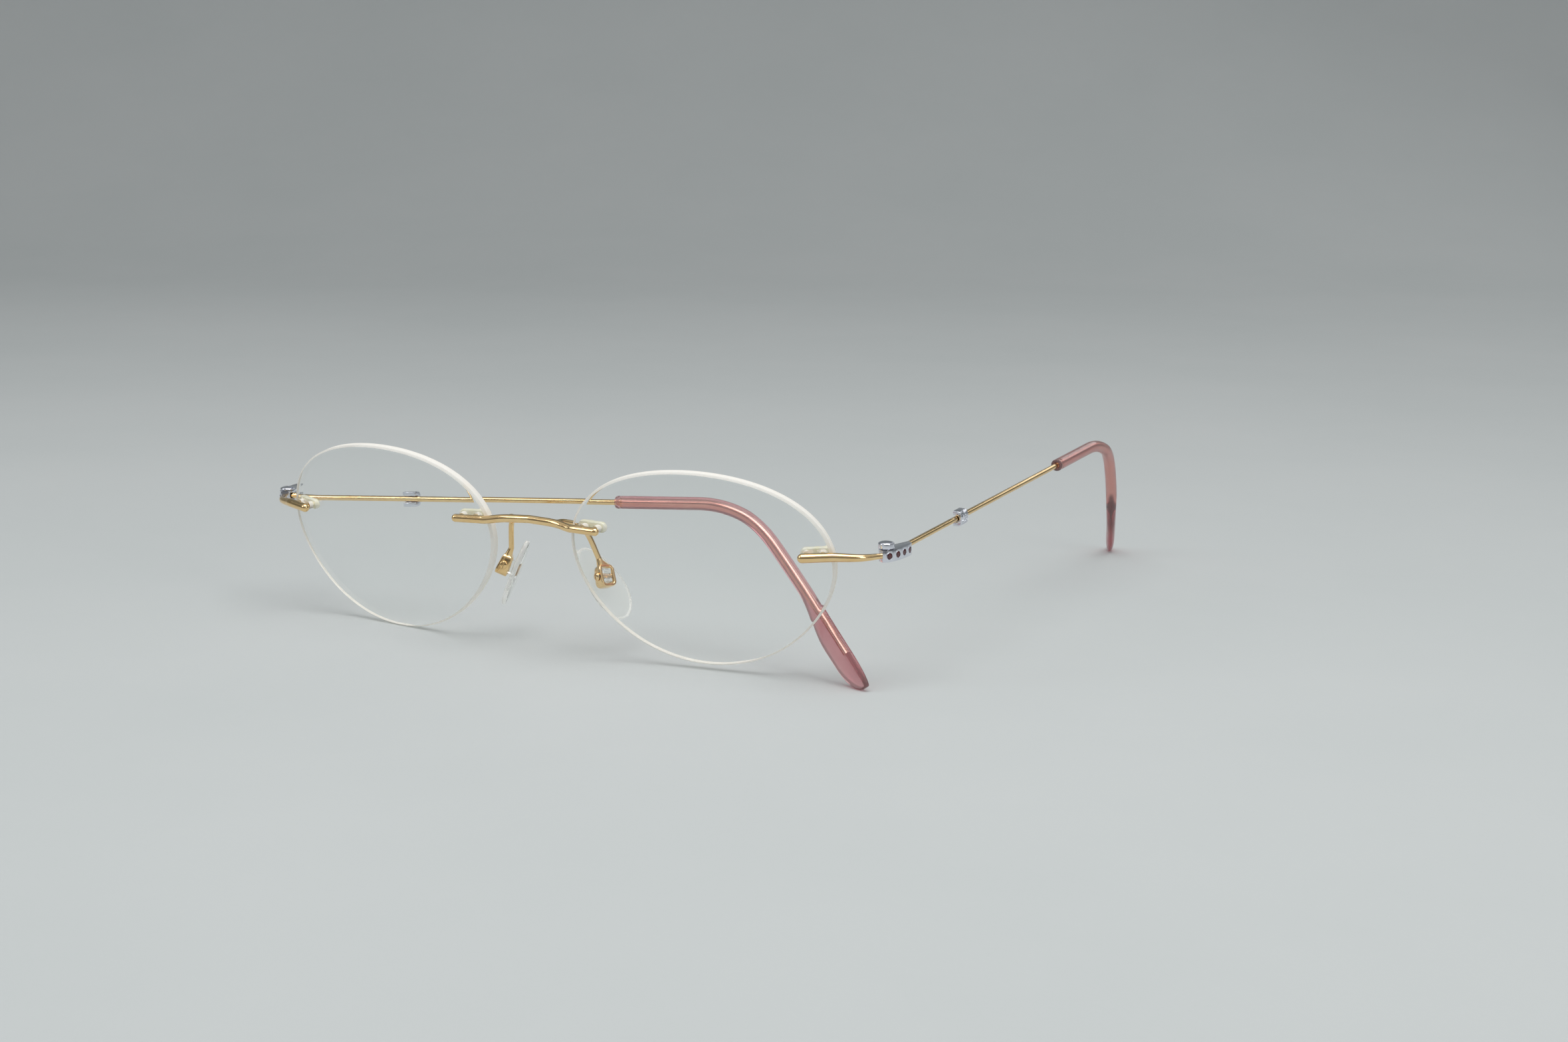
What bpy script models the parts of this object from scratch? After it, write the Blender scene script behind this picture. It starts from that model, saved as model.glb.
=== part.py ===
"""Rimless spectacles, standing on a table with one temple folded.

Two clear oval lenses carry the whole frame. A gold bridge and two gold end
pieces are pinned to them through clear plastic bushings. Wire temples turn on
vertical hinge screws, and two clear nose pads rock on small screws.

Units are metres and radians. +X is the wearer's left, +Y is the wearer's
back and +Z is up. The frame stands on Z = 0 on three points: the right lens
and both temple tips. The tips reach a little lower than the lenses, so the
folded one lifts the left lens off the table.
"""
import math

import bmesh
import bpy
from mathutils import Matrix, Vector

for leftover in list(bpy.data.objects):
    bpy.data.objects.remove(leftover, do_unlink=True)

MM = 0.001

# Lens: an oval edged from a turned blank that is curved alike on both sides
LENS_WIDTH = 48.0 * MM
LENS_HEIGHT = 35.2 * MM
LENS_THICKNESS = 1.6 * MM
LENS_RADIUS = 87.6 * MM
LENS_SLANT = -0.028
LENS_EGG = 0.031
LENS_GAP = 17.0 * MM
LENS_WRAP = math.radians(6.6)
LENS_TILT = math.radians(11.0)

# Fits between pieces
FIT_GAP = 0.10 * MM
SEAT_GAP = 0.2 * MM

# Lens mounts: two pins each, through plastic plugs in the lens
PIN_RADIUS = 0.30 * MM
PIN_PITCH = 2.8 * MM
PLUG_WALL = 0.18 * MM
BUSHING_LENGTH = 5.8 * MM
BUSHING_HEIGHT = 1.85 * MM
BUSHING_DEPTH = 0.9 * MM
BUSHING_SHIFT = 0.35 * MM
PIN_PROUD = 0.15 * MM
NASAL_EDGE_MARGIN = 0.9 * MM
NASAL_HEIGHT = 5.8 * MM
TEMPORAL_EDGE_MARGIN = 0.9 * MM
TEMPORAL_HEIGHT = 2.9 * MM

# Bridge bar
BRIDGE_RADIUS = 0.72 * MM
BRIDGE_ARCH_DEPTH = -0.5 * MM
BRIDGE_ARCH_RISE = 0.7 * MM
BRIDGE_ARCH_HALF = 5.2 * MM
BAR_END = 1.4 * MM

# End piece
END_PIECE_RADIUS = 0.80 * MM
END_PIECE_NECK_RADIUS = 0.46 * MM

# Hinge: its axis stands upright, outside and behind the lens
HINGE_OUT = 6.2 * MM
HINGE_BACK = 11.7 * MM
HINGE_ABOVE_LENS_MIDDLE = 3.548 * MM
EYE_RADIUS = 0.80 * MM
EYE_HEIGHT = 1.16 * MM
HINGE_SCREW_RADIUS = 0.36 * MM
SCREW_HEAD_RADIUS = 1.38 * MM
SCREW_HEAD_HEIGHT = 0.6 * MM
SCREW_SLOT = 0.3 * MM
LEFT_SCREW_COLLAR = 0.6 * MM

# Silver hinge housing: an outer wall between two flanges. Its plan is given
# as places (outward, back) from the hinge axis. The wall runs from the front
# corner to the last place, and both flanges reach on to the rear tip.
HOUSING_WALL_PLAN = [
    Vector((0.2, -1.75)) * MM, Vector((1.08, -0.92)) * MM, Vector((1.79, 0.96)) * MM,
    Vector((2.11, 2.81)) * MM, Vector((2.25, 4.73)) * MM, Vector((2.1, 5.7)) * MM,
]
HOUSING_TIP = Vector((1.1, 6.7)) * MM
HOUSING_WALL = 0.45 * MM
HOUSING_SLOPE = 0.03
FLANGE_THICKNESS = 0.32 * MM
BOSS_RADIUS = 1.28 * MM

# Stones set in the housing's outer wall, one at each inner place of its plan
STONE_RADIUS = 0.56 * MM
STONE_DEPTH = 0.28 * MM

# Temple: a straight wire, then a bend down to a tip that stands on the table
WIRE_RADIUS = 0.5 * MM
WIRE_DROP = 0.23 * MM
ROOT_RADIUS = 0.55 * MM
ROOT_LENGTH = 6.5 * MM
WIRE_SLOPE = 0.062
BEND_AT = 97.4 * MM
BEND_LEAD = 9.0 * MM
TIP_ANGLE = math.radians(45.3)
TIP_BELOW_LENS = 1.4 * MM
TOE_IN = 9.1 * MM
TOE_POWER = 1.33
BEAD_AT = 28.5 * MM
BEAD_LENGTH = 2.8 * MM
BEAD_HEIGHT = 2.8 * MM
BEAD_FACE = 1.25 * MM
BEAD_LIP = 0.6 * MM
SLEEVE_AT = 72.3 * MM
SLEEVE_RADIUS = 1.15 * MM
TIP_RADIUS = 1.15 * MM
PADDLE_WIDTH = 5.0 * MM
PADDLE_THICKNESS = 1.9 * MM
PADDLE_LENGTH = 21.0 * MM
CORE_SHORT = 6.0 * MM
OPEN_SPLAY = math.radians(2.3)
FOLD_RIGHT = math.radians(88.4)

# Nose pad, its box and its arm
PAD_BOX_OUT = 10.7 * MM
PAD_BOX_BACK = 7.6 * MM
PAD_BOX_RISE = 13.3 * MM
PAD_BOX = Vector((PAD_BOX_OUT, PAD_BOX_BACK, PAD_BOX_RISE))
PAD_LONG = Vector((0.497, 0.231, -0.837))
PAD_FACE = Vector((-0.843, 0.356, -0.402))
PAD_SCREW_TURN = math.radians(30.0)
PAD_LENGTH = 14.6 * MM
PAD_WIDTH = 7.4 * MM
PAD_THICKNESS = 1.5 * MM
PAD_TAPER = 0.2
PAD_ASIDE = 0.5 * MM
PAD_STAND_OFF = 2.3 * MM
PAD_DROP = 1.1 * MM
PAD_CENTRE = Vector((PAD_ASIDE, PAD_STAND_OFF, -PAD_DROP))
BOX_WIDTH = 3.0 * MM
BOX_DEPTH = 2.2 * MM
BOX_LENGTH = 4.0 * MM
BOX_WALL = 0.5 * MM
LUG_GAP = 0.3 * MM
ARM_RADIUS = 0.48 * MM
NECK_HEIGHT = 1.2 * MM
NECK_LEAN = 0.7 * MM
PAD_SCREW_RADIUS = 0.38 * MM
PAD_SCREW_HEAD = 0.75 * MM
PAD_SCREW_HEAD_HEIGHT = 0.45 * MM

# Facets
OUTLINE_POINTS = 56
BLANK_STEPS = 32
ROUND_SIDES = 12
BORE_SIDES = 16

parts = bpy.data.collections.new("rimless_spectacles")
cutters = bpy.data.collections.new("cutters")
for collection in (parts, cutters):
    bpy.context.scene.collection.children.link(collection)


# Shape helpers
def place(name, mesh, collection=parts):
    """Link a mesh as a new object."""
    obj = bpy.data.objects.new(name, mesh)
    collection.objects.link(obj)
    if collection is cutters:
        obj.hide_render = True
        obj.display_type = "WIRE"
    return obj


def from_bmesh(name, bm, matrix, collection=parts):
    """Finish a bmesh as an object, moved by a matrix."""
    bmesh.ops.transform(bm, matrix=matrix, verts=bm.verts)
    mesh = bpy.data.meshes.new(name)
    bm.to_mesh(mesh)
    bm.free()
    return place(name, mesh, collection)


def rod(name, radius, start, end, collection=cutters, sides=ROUND_SIDES, end_radius=None):
    """A cylinder or cone between two points."""
    start, end = Vector(start), Vector(end)
    run = end - start
    bm = bmesh.new()
    bmesh.ops.create_cone(
        bm, cap_ends=True, segments=sides, radius1=radius,
        radius2=radius if end_radius is None else end_radius, depth=run.length)
    turn = run.to_track_quat("Z", "Y").to_matrix().to_4x4()
    return from_bmesh(name, bm, Matrix.Translation((start + end) / 2) @ turn, collection)


def block(name, size, centre, collection=cutters):
    """A box of a given size about its centre."""
    bm = bmesh.new()
    bmesh.ops.create_cube(bm, size=1.0)
    return from_bmesh(name, bm, Matrix.Translation(centre) @ Matrix.Diagonal((*size, 1.0)), collection)


def evaluated_mesh(obj):
    """The object's mesh with its modifiers applied, in its own space."""
    depsgraph = bpy.context.evaluated_depsgraph_get()
    depsgraph.update()
    return bpy.data.meshes.new_from_object(obj.evaluated_get(depsgraph))


def bake(obj):
    """Replace the object's mesh by its evaluated one and drop the modifiers."""
    mesh = evaluated_mesh(obj)
    obj.modifiers.clear()
    obj.data = mesh
    mesh.name = obj.name
    return obj


def turned(name, profile, steps, matrix, collection=parts):
    """A profile of (radius, height) points, turned about Z, then moved."""
    mesh = bpy.data.meshes.new(name)
    edges = [(i, i + 1) for i in range(len(profile) - 1)]
    mesh.from_pydata([(radius, 0.0, height) for radius, height in profile], edges, [])
    obj = place(name, mesh, collection)
    screw = obj.modifiers.new("Turn", "SCREW")
    screw.steps = steps
    screw.render_steps = steps
    screw.use_merge_vertices = True
    screw.merge_threshold = 0.00001
    bake(obj)
    obj.data.transform(matrix)
    return obj


def curve_to_mesh(name, curve, matrix, collection):
    """Make a curve's solid a mesh with its caps welded."""
    guide = bpy.data.objects.new(name + "_guide", curve)
    cutters.objects.link(guide)
    mesh = evaluated_mesh(guide)
    bpy.data.objects.remove(guide)
    bm = bmesh.new()
    bm.from_mesh(mesh)
    bmesh.ops.remove_doubles(bm, verts=bm.verts, dist=0.000001)
    bmesh.ops.recalc_face_normals(bm, faces=bm.faces)
    return from_bmesh(name, bm, matrix, collection)


def tube(name, points, radii, collection=parts, resolution=2):
    """A round tube along points, with a radius at each."""
    curve = bpy.data.curves.new(name, "CURVE")
    curve.dimensions = "3D"
    curve.bevel_depth = 1.0
    curve.bevel_resolution = resolution
    curve.use_fill_caps = True
    spline = curve.splines.new("POLY")
    spline.points.add(len(points) - 1)
    for item, point, radius in zip(spline.points, points, radii):
        item.co = (*point, 1.0)
        item.radius = radius
    return curve_to_mesh(name, curve, Matrix.Identity(4), collection)


def plate(name, outline, thickness, matrix, collection=parts, holes=()):
    """A flat outline in XY, extruded evenly about Z = 0, then moved."""
    curve = bpy.data.curves.new(name, "CURVE")
    curve.dimensions = "2D"
    curve.fill_mode = "BOTH"
    curve.extrude = thickness / 2
    for loop in (outline, *holes):
        spline = curve.splines.new("POLY")
        spline.points.add(len(loop) - 1)
        for item, (x, y) in zip(spline.points, loop):
            item.co = (x, y, 0.0, 1.0)
        spline.use_cyclic_u = True
    return curve_to_mesh(name, curve, matrix, collection)


def combine(target, tool, operation):
    """Boolean one object with another, which goes to the cutters."""
    if tool.name not in cutters.objects:
        parts.objects.unlink(tool)
        cutters.objects.link(tool)
    tool.hide_render = True
    tool.display_type = "WIRE"
    boolean = target.modifiers.new(operation.title(), "BOOLEAN")
    boolean.operation = operation
    boolean.solver = "EXACT"
    boolean.object = tool
    return bake(target)


def arc(centre, radius, start, end, count):
    """Points on an arc between two angles in degrees."""
    angles = [math.radians(start + (end - start) * i / (count - 1)) for i in range(count)]
    return [(centre[0] + radius * math.cos(a), centre[1] + radius * math.sin(a)) for a in angles]


def smooth(points, steps):
    """A Catmull-Rom curve through the points."""
    padded = [points[0] * 2 - points[1], *points, points[-1] * 2 - points[-2]]
    curve = []
    for a, b, c, d in zip(padded, padded[1:], padded[2:], padded[3:]):
        for i in range(steps):
            t = i / steps
            curve.append(0.5 * (2 * b + (c - a) * t + (2 * a - 5 * b + 4 * c - d) * t ** 2
                                + (3 * b - a - 3 * c + d) * t ** 3))
    return curve + [points[-1]]


def rounded_ends(points, radius, start, end):
    """Shrink a bar's radius to a round end at its start and end."""
    lengths = [0.0]
    for a, b in zip(points, points[1:]):
        lengths.append(lengths[-1] + (b - a).length)
    radii = []
    for s in lengths:
        near = min(s if start else radius, lengths[-1] - s if end else radius)
        radii.append(radius * math.sqrt(max(1 - (1 - min(near / radius, 1.0)) ** 2, 0.04)))
    return radii


def mirrored(obj, name):
    """A mirrored twin of a piece, for the wearer's right."""
    mesh = obj.data.copy()
    mesh.name = name
    mesh.transform(Matrix.Scale(-1.0, 4, (1.0, 0.0, 0.0)))
    mesh.flip_normals()
    return place(name, mesh)


# Lens surfaces and the places of its mounts
def sag(u, v):
    """How far the lens curves back at (u, v) from its middle."""
    return LENS_RADIUS - math.sqrt(LENS_RADIUS ** 2 - u ** 2 - v ** 2)


def outline_point(angle):
    """A point of the lens's edge in its own plane."""
    half_width, half_height = LENS_WIDTH / 2, LENS_HEIGHT / 2
    swell = 1 + LENS_EGG * math.sin(3 * angle)
    u = half_width * math.cos(angle)
    return u * swell, (half_height * math.sin(angle) + LENS_SLANT * u) * swell


OUTLINE = [outline_point(2 * math.pi * i / OUTLINE_POINTS) for i in range(OUTLINE_POINTS)]
LENS_TURN = Matrix.Rotation(LENS_TILT, 4, "X") @ Matrix.Rotation(LENS_WRAP, 4, "Z")
LENS_CENTRE = Vector((
    (LENS_WIDTH + LENS_GAP) / 2, 0.0,
    -min((LENS_TURN @ Vector((u, sag(u, v), v))).z for u, v in OUTLINE)))
LENS_FRAME = Matrix.Translation(LENS_CENTRE) @ LENS_TURN


def edge_at(height, side):
    """Where the lens's edge lies at a height, towards the nose or temple."""
    reach = [u for u, v in OUTLINE if abs(v - height) < LENS_HEIGHT / 12 and u * side > 0]
    return side * min(abs(u) for u in reach)


def mount_frame(u, v):
    """Axes on the lens's front: X along the bar, Y straight in, Z up."""
    inward = Vector((-u, LENS_RADIUS - sag(u, v), -v)).normalized()
    along = (Vector((1.0, 0.0, 0.0)) - inward * inward.x).normalized()
    up = along.cross(inward)
    turn = Matrix((along, inward, up)).transposed().to_4x4()
    return LENS_FRAME @ Matrix.Translation((u, sag(u, v), v)) @ turn


PLUG_RADIUS = PIN_RADIUS + FIT_GAP + PLUG_WALL
HOLE_RADIUS = PLUG_RADIUS + FIT_GAP
NASAL_U = edge_at(NASAL_HEIGHT, -1) + NASAL_EDGE_MARGIN + PIN_PITCH / 2
TEMPORAL_U = edge_at(TEMPORAL_HEIGHT, 1) - TEMPORAL_EDGE_MARGIN - PIN_PITCH / 2
NASAL_MOUNT = mount_frame(NASAL_U, NASAL_HEIGHT)
TEMPORAL_MOUNT = mount_frame(TEMPORAL_U, TEMPORAL_HEIGHT)
PIN_SPOTS = (-PIN_PITCH / 2, PIN_PITCH / 2)
BUSHING_FRONT = LENS_THICKNESS + SEAT_GAP
BUSHING_BACK = BUSHING_FRONT + BUSHING_DEPTH


def make_lens():
    """The oval lens with its four holes."""
    rim = 1.12 * LENS_WIDTH / 2
    radii = [rim * i / 5 for i in range(6)]
    front = [(radius, -sag(radius, 0.0)) for radius in radii]
    back = [(radius, height - LENS_THICKNESS) for radius, height in reversed(front)]
    lens = turned("lens_left", front + back, BLANK_STEPS, Matrix.Rotation(math.pi / 2, 4, "X"))
    lying = Matrix.Rotation(math.pi / 2, 4, "X")
    edging = plate("lens_edging", OUTLINE, LENS_WIDTH, lying, cutters)
    combine(lens, edging, "INTERSECT")
    lens.data.transform(LENS_FRAME)
    for label, mount in (("nasal", NASAL_MOUNT), ("temporal", TEMPORAL_MOUNT)):
        for x in PIN_SPOTS:
            front_end = mount @ Vector((x, -LENS_THICKNESS, 0.0))
            back_end = mount @ Vector((x, 2 * LENS_THICKNESS, 0.0))
            hole = rod(f"lens_hole_{label}", HOLE_RADIUS, front_end, back_end)
            combine(lens, hole, "DIFFERENCE")
    return lens


def make_bushing(label, mount, shift):
    """A clear double bushing: a stadium plate with two hollow plugs."""
    half = (BUSHING_LENGTH - BUSHING_HEIGHT) / 2
    outline = (arc((half, 0.0), BUSHING_HEIGHT / 2, -90, 90, 7)
               + arc((-half, 0.0), BUSHING_HEIGHT / 2, 90, 270, 7))
    middle = (BUSHING_FRONT + BUSHING_BACK) / 2
    stand = mount @ Matrix.Translation((shift, middle, 0.0)) @ Matrix.Rotation(math.pi / 2, 4, "X")
    bushing = plate(f"bushing_{label}_left", outline, BUSHING_DEPTH, stand)
    for x in PIN_SPOTS:
        plug = rod(f"plug_{label}", PLUG_RADIUS, mount @ Vector((x, SEAT_GAP, 0.0)),
                   mount @ Vector((x, middle, 0.0)))
        combine(bushing, plug, "UNION")
    for x in PIN_SPOTS:
        bore = rod(f"plug_bore_{label}", PIN_RADIUS + FIT_GAP, mount @ Vector((x, -SEAT_GAP, 0.0)),
                   mount @ Vector((x, BUSHING_BACK + SEAT_GAP, 0.0)))
        combine(bushing, bore, "DIFFERENCE")
    return bushing


def add_pins(bar, label, mount, bar_radius):
    """Grow two pins from a bar, back through the lens and its bushing."""
    for x in PIN_SPOTS:
        pin = rod(f"pin_{label}", PIN_RADIUS, mount @ Vector((x, -SEAT_GAP - bar_radius, 0.0)),
                  mount @ Vector((x, BUSHING_BACK + PIN_PROUD, 0.0)), sides=8)
        combine(bar, pin, "UNION")


def bridge_path():
    """Centre line of the left half of the bridge, from its middle out."""
    lie = -SEAT_GAP - BRIDGE_RADIUS
    inner_end = NASAL_MOUNT @ Vector((PIN_PITCH / 2 + BAR_END, lie, 0.0))
    bar_start = NASAL_MOUNT @ Vector((-PIN_PITCH / 2 - NASAL_EDGE_MARGIN - 0.4 * MM, lie, 0.0))
    arch_height = bar_start.z + BRIDGE_ARCH_RISE
    shoulder = Vector((BRIDGE_ARCH_HALF, BRIDGE_ARCH_DEPTH, arch_height - 0.3 * MM))
    knee = bar_start.lerp(shoulder, 0.25)
    knee.z = bar_start.z
    curve = smooth([
        Vector((0.0, BRIDGE_ARCH_DEPTH, arch_height)),
        shoulder,
        knee,
        bar_start,
    ], 5)
    bar_run = inner_end - bar_start
    near_end = [bar_run * (1 - share * BRIDGE_RADIUS / bar_run.length) for share in (1.04, 0.42)]
    return curve + [bar_start + step for step in (bar_run * 0.5, *near_end, bar_run)]


def make_bridge():
    """The gold bridge: an arch, two cranks and two bars on the lenses."""
    half = bridge_path()
    twin = [Vector((-p.x, p.y, p.z)) for p in reversed(half[1:])]
    path = twin + half
    bridge = tube("bridge", path, rounded_ends(path, BRIDGE_RADIUS, True, True), resolution=3)
    add_pins(bridge, "nasal_left", NASAL_MOUNT, BRIDGE_RADIUS)
    flip = Matrix.Scale(-1.0, 4, (1.0, 0.0, 0.0))
    add_pins(bridge, "nasal_right", flip @ NASAL_MOUNT, BRIDGE_RADIUS)
    return bridge


HINGE = Vector((
    LENS_CENTRE.x + LENS_WIDTH / 2 + HINGE_OUT, HINGE_BACK,
    LENS_CENTRE.z + HINGE_ABOVE_LENS_MIDDLE))
HOUSING_HALF = EYE_HEIGHT / 2 + FIT_GAP + FLANGE_THICKNESS


def make_end_piece():
    """The gold end piece: a bar on the lens that bends back to the hinge."""
    lie = -SEAT_GAP - END_PIECE_RADIUS
    inner_end = TEMPORAL_MOUNT @ Vector((-PIN_PITCH / 2 - BAR_END, lie, 0.0))
    leave = TEMPORAL_MOUNT @ Vector((PIN_PITCH / 2 + TEMPORAL_EDGE_MARGIN + 0.6 * MM, lie, 0.0))
    run = leave - inner_end
    bar = [inner_end, inner_end + run * 0.05, inner_end + run * 0.15, inner_end + run * 0.55]
    stop = EYE_RADIUS + FIT_GAP + END_PIECE_NECK_RADIUS
    seat = HINGE + Vector((-0.1 * stop, -1.05 * stop, 0.0))
    reach = seat - leave
    turn = leave + Vector((0.62 * reach.x, 0.44 * reach.y, 0.8 * reach.z))
    path = bar + smooth([leave, turn, seat], 5)
    radii = rounded_ends(path, END_PIECE_RADIUS, True, False)
    bent = len(path) - len(bar)
    for i in range(bent):
        share = i / (bent - 1)
        radii[len(bar) + i] = END_PIECE_RADIUS + (END_PIECE_NECK_RADIUS - END_PIECE_RADIUS) * share
    piece = tube("end_piece_left", path, radii)
    add_pins(piece, "temporal", TEMPORAL_MOUNT, END_PIECE_RADIUS)
    channel = tube("end_piece_channel", path[-9:], [r + FIT_GAP for r in radii[-9:]], cutters)
    return piece, channel


# The housing's plan, beside and behind the hinge axis
WALL_STEPS = 3
WALL_LINE = smooth(HOUSING_WALL_PLAN, WALL_STEPS)


def wall_normal(index):
    """Outward direction of the housing's wall at a point of its line."""
    ahead = WALL_LINE[min(index + 1, len(WALL_LINE) - 1)] - WALL_LINE[max(index - 1, 0)]
    return Vector((ahead.y, -ahead.x)).normalized()


def housing_frame():
    """Axes about the hinge axis, sloping up a little to the back."""
    slope = Matrix.Identity(4)
    slope[2][1] = HOUSING_SLOPE
    return Matrix.Translation(HINGE) @ slope


def make_housing(channel):
    """The silver hinge housing, open on its inner side."""
    outline = [*WALL_LINE, HOUSING_TIP, *arc((0.0, 0.0), BOSS_RADIUS, 160, 240, 6)]
    housing = plate("hinge_housing_left", outline, 2 * HOUSING_HALF, housing_frame())
    inner = [WALL_LINE[i] - wall_normal(i) * HOUSING_WALL for i in range(1, len(WALL_LINE))]
    past = HOUSING_TIP.y + HOUSING_WALL
    inner += [(inner[-1].x, past), (-3 * BOSS_RADIUS, past), (-3 * BOSS_RADIUS, inner[0].y)]
    opening = EYE_HEIGHT + 2 * FIT_GAP
    combine(housing, plate("housing_cavity", inner, opening, housing_frame(), cutters), "DIFFERENCE")
    combine(housing, channel, "DIFFERENCE")
    half = Vector((0.0, 0.0, opening / 2 + FIT_GAP / 2))
    room = rod("eye_room", EYE_RADIUS + FIT_GAP, HINGE - half, HINGE + half, sides=BORE_SIDES)
    combine(housing, room, "DIFFERENCE")
    half = Vector((0.0, 0.0, 2 * HOUSING_HALF))
    bore = rod("housing_bore", HINGE_SCREW_RADIUS + FIT_GAP, HINGE - half, HINGE + half)
    combine(housing, bore, "DIFFERENCE")
    for number in STONE_NUMBERS:
        floor, normal = stone_place(number, STONE_DEPTH + FIT_GAP)
        seat = rod("stone_seat", STONE_RADIUS + FIT_GAP, floor, floor + normal * 4 * STONE_DEPTH)
        combine(housing, seat, "DIFFERENCE")
    return housing


STONE_NUMBERS = range(1, len(HOUSING_WALL_PLAN) - 1)


def stone_place(number, depth):
    """Where a stone sits in the outer wall, and which way it faces."""
    normal = wall_normal(number * WALL_STEPS)
    spot = WALL_LINE[number * WALL_STEPS] - normal * depth
    return housing_frame() @ spot.to_3d(), normal.to_3d()


def make_stones():
    """Round dark red stones, each domed a little above its seat."""
    stones = []
    for number in STONE_NUMBERS:
        bm = bmesh.new()
        bmesh.ops.create_uvsphere(bm, u_segments=10, v_segments=6, radius=1.0)
        spot, normal = stone_place(number, STONE_DEPTH / 2)
        turn = normal.to_track_quat("Z", "Y").to_matrix().to_4x4()
        size = Matrix.Diagonal((STONE_RADIUS, STONE_RADIUS, STONE_DEPTH / 2 + 0.04 * MM, 1.0))
        stones.append(from_bmesh(f"stone_{number}_left", bm, Matrix.Translation(spot) @ turn @ size))
    return stones


def make_hinge_screw(side, axis, collar):
    """A silver hinge screw, with a domed and slotted head on a collar."""
    seat = HOUSING_HALF + FIT_GAP
    top = seat + collar + SCREW_HEAD_HEIGHT
    profile = [
        (0.0, top), (0.55 * SCREW_HEAD_RADIUS, top - 0.1 * SCREW_HEAD_HEIGHT),
        (0.85 * SCREW_HEAD_RADIUS, top - 0.35 * SCREW_HEAD_HEIGHT),
        (SCREW_HEAD_RADIUS, top - 0.7 * SCREW_HEAD_HEIGHT),
        (SCREW_HEAD_RADIUS, seat), (HINGE_SCREW_RADIUS, seat),
        (HINGE_SCREW_RADIUS, -HOUSING_HALF), (0.0, -HOUSING_HALF),
    ]
    screw = turned(f"hinge_screw_{side}", profile, ROUND_SIDES, Matrix.Translation(axis))
    slot = block("screw_slot", (4 * SCREW_HEAD_RADIUS, SCREW_SLOT, SCREW_HEAD_HEIGHT),
                 axis + Vector((0.0, 0.0, top)))
    return combine(screw, slot, "DIFFERENCE")


# Temple pieces are built about the hinge axis: +X outward, +Y to the ear
def wire_height(y):
    """Height of the straight wire's axis above the hinge's middle."""
    return WIRE_SLOPE * y - WIRE_DROP


def tip_run(end_height):
    """How far back the tip reaches beyond the bend's corner."""
    return (wire_height(BEND_AT) - end_height) / math.tan(TIP_ANGLE)


def temple_line(end_height, start, leg_points):
    """Centre line from a place on the wire, round the bend, to the tip's end."""
    corner = Vector((0.0, BEND_AT, wire_height(BEND_AT)))
    before = Vector((0.0, 1.0, WIRE_SLOPE)).normalized()
    after = Vector((0.0, math.cos(TIP_ANGLE), -math.sin(TIP_ANGLE)))
    run = tip_run(end_height)
    leg = run / math.cos(TIP_ANGLE)
    line = [Vector((0.0, start + (BEND_AT - BEND_LEAD - start) * t, 0.0)) for t in (0.0, 0.34, 0.67)]
    for point in line:
        point.z = wire_height(point.y)
    bend_start = corner - before * BEND_LEAD
    bend_end = corner + after * BEND_LEAD
    for i in range(7):
        t = i / 6
        line.append(bend_start * (1 - t) ** 2 + corner * 2 * t * (1 - t) + bend_end * t ** 2)
    line += [corner + after * (BEND_LEAD + (leg - BEND_LEAD) * t) for t in leg_points]
    for point in line:
        share = max(0.0, (point.y - BEND_AT) / run)
        point.x = -TOE_IN * share ** TOE_POWER
    return line


LEG_POINTS = (0.12, 0.26, 0.4, 0.5, 0.6, 0.7, 0.8, 0.88, 0.94, 0.975, 0.995)


def tip_sections(end_height):
    """Centres and half sizes of the tip's sections, from sleeve to end."""
    line = temple_line(end_height, SLEEVE_AT, LEG_POINTS)
    back = [0.0]
    for a, b in zip(reversed(line), list(reversed(line))[1:]):
        back.append(back[-1] + (b - a).length)
    back.reverse()
    total = back[0]
    sections = []
    for i, (point, left) in enumerate(zip(line, back)):
        ahead = line[min(i + 1, len(line) - 1)] - line[max(i - 1, 0)]
        ahead.normalize()
        grow = min(1.0, (total - left) / (total - PADDLE_LENGTH))
        radius = SLEEVE_RADIUS + (TIP_RADIUS - SLEEVE_RADIUS) * grow
        spread = max(0.0, min(1.0, (PADDLE_LENGTH - left) / (0.5 * PADDLE_LENGTH)))
        spread = spread * spread * (3 - 2 * spread)
        half_width = radius + (PADDLE_WIDTH / 2 - radius) * spread
        half_thick = radius + (PADDLE_THICKNESS / 2 - radius) * spread
        nose = math.sqrt(max(0.0, 1 - (1 - min(1.0, left / (0.3 * PADDLE_LENGTH))) ** 2))
        side = ahead.cross(Vector((0.0, 0.0, 1.0))).normalized()
        down = ahead.cross(side).normalized()
        centre = point + down * (half_width - radius) * nose
        blunt = 0.12 + 0.88 * nose
        sections.append((centre, side * half_thick * (0.4 + 0.6 * nose), down * half_width * blunt))
    return sections


def section_ring(section, sides):
    """Points round an oval section."""
    centre, across, down = section
    angles = [2 * math.pi * i / sides for i in range(sides)]
    return [centre + across * math.cos(a) + down * math.sin(a) for a in angles]


def tip_end_height():
    """Height of the tip's axis end that puts its lowest point at its reach."""
    height = -HINGE.z - TIP_BELOW_LENS + TIP_RADIUS
    for _ in range(3):
        lowest = min(p.z for s in tip_sections(height) for p in section_ring(s, ROUND_SIDES))
        height -= lowest + HINGE.z + TIP_BELOW_LENS
    return height


TIP_END = tip_end_height()


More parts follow.
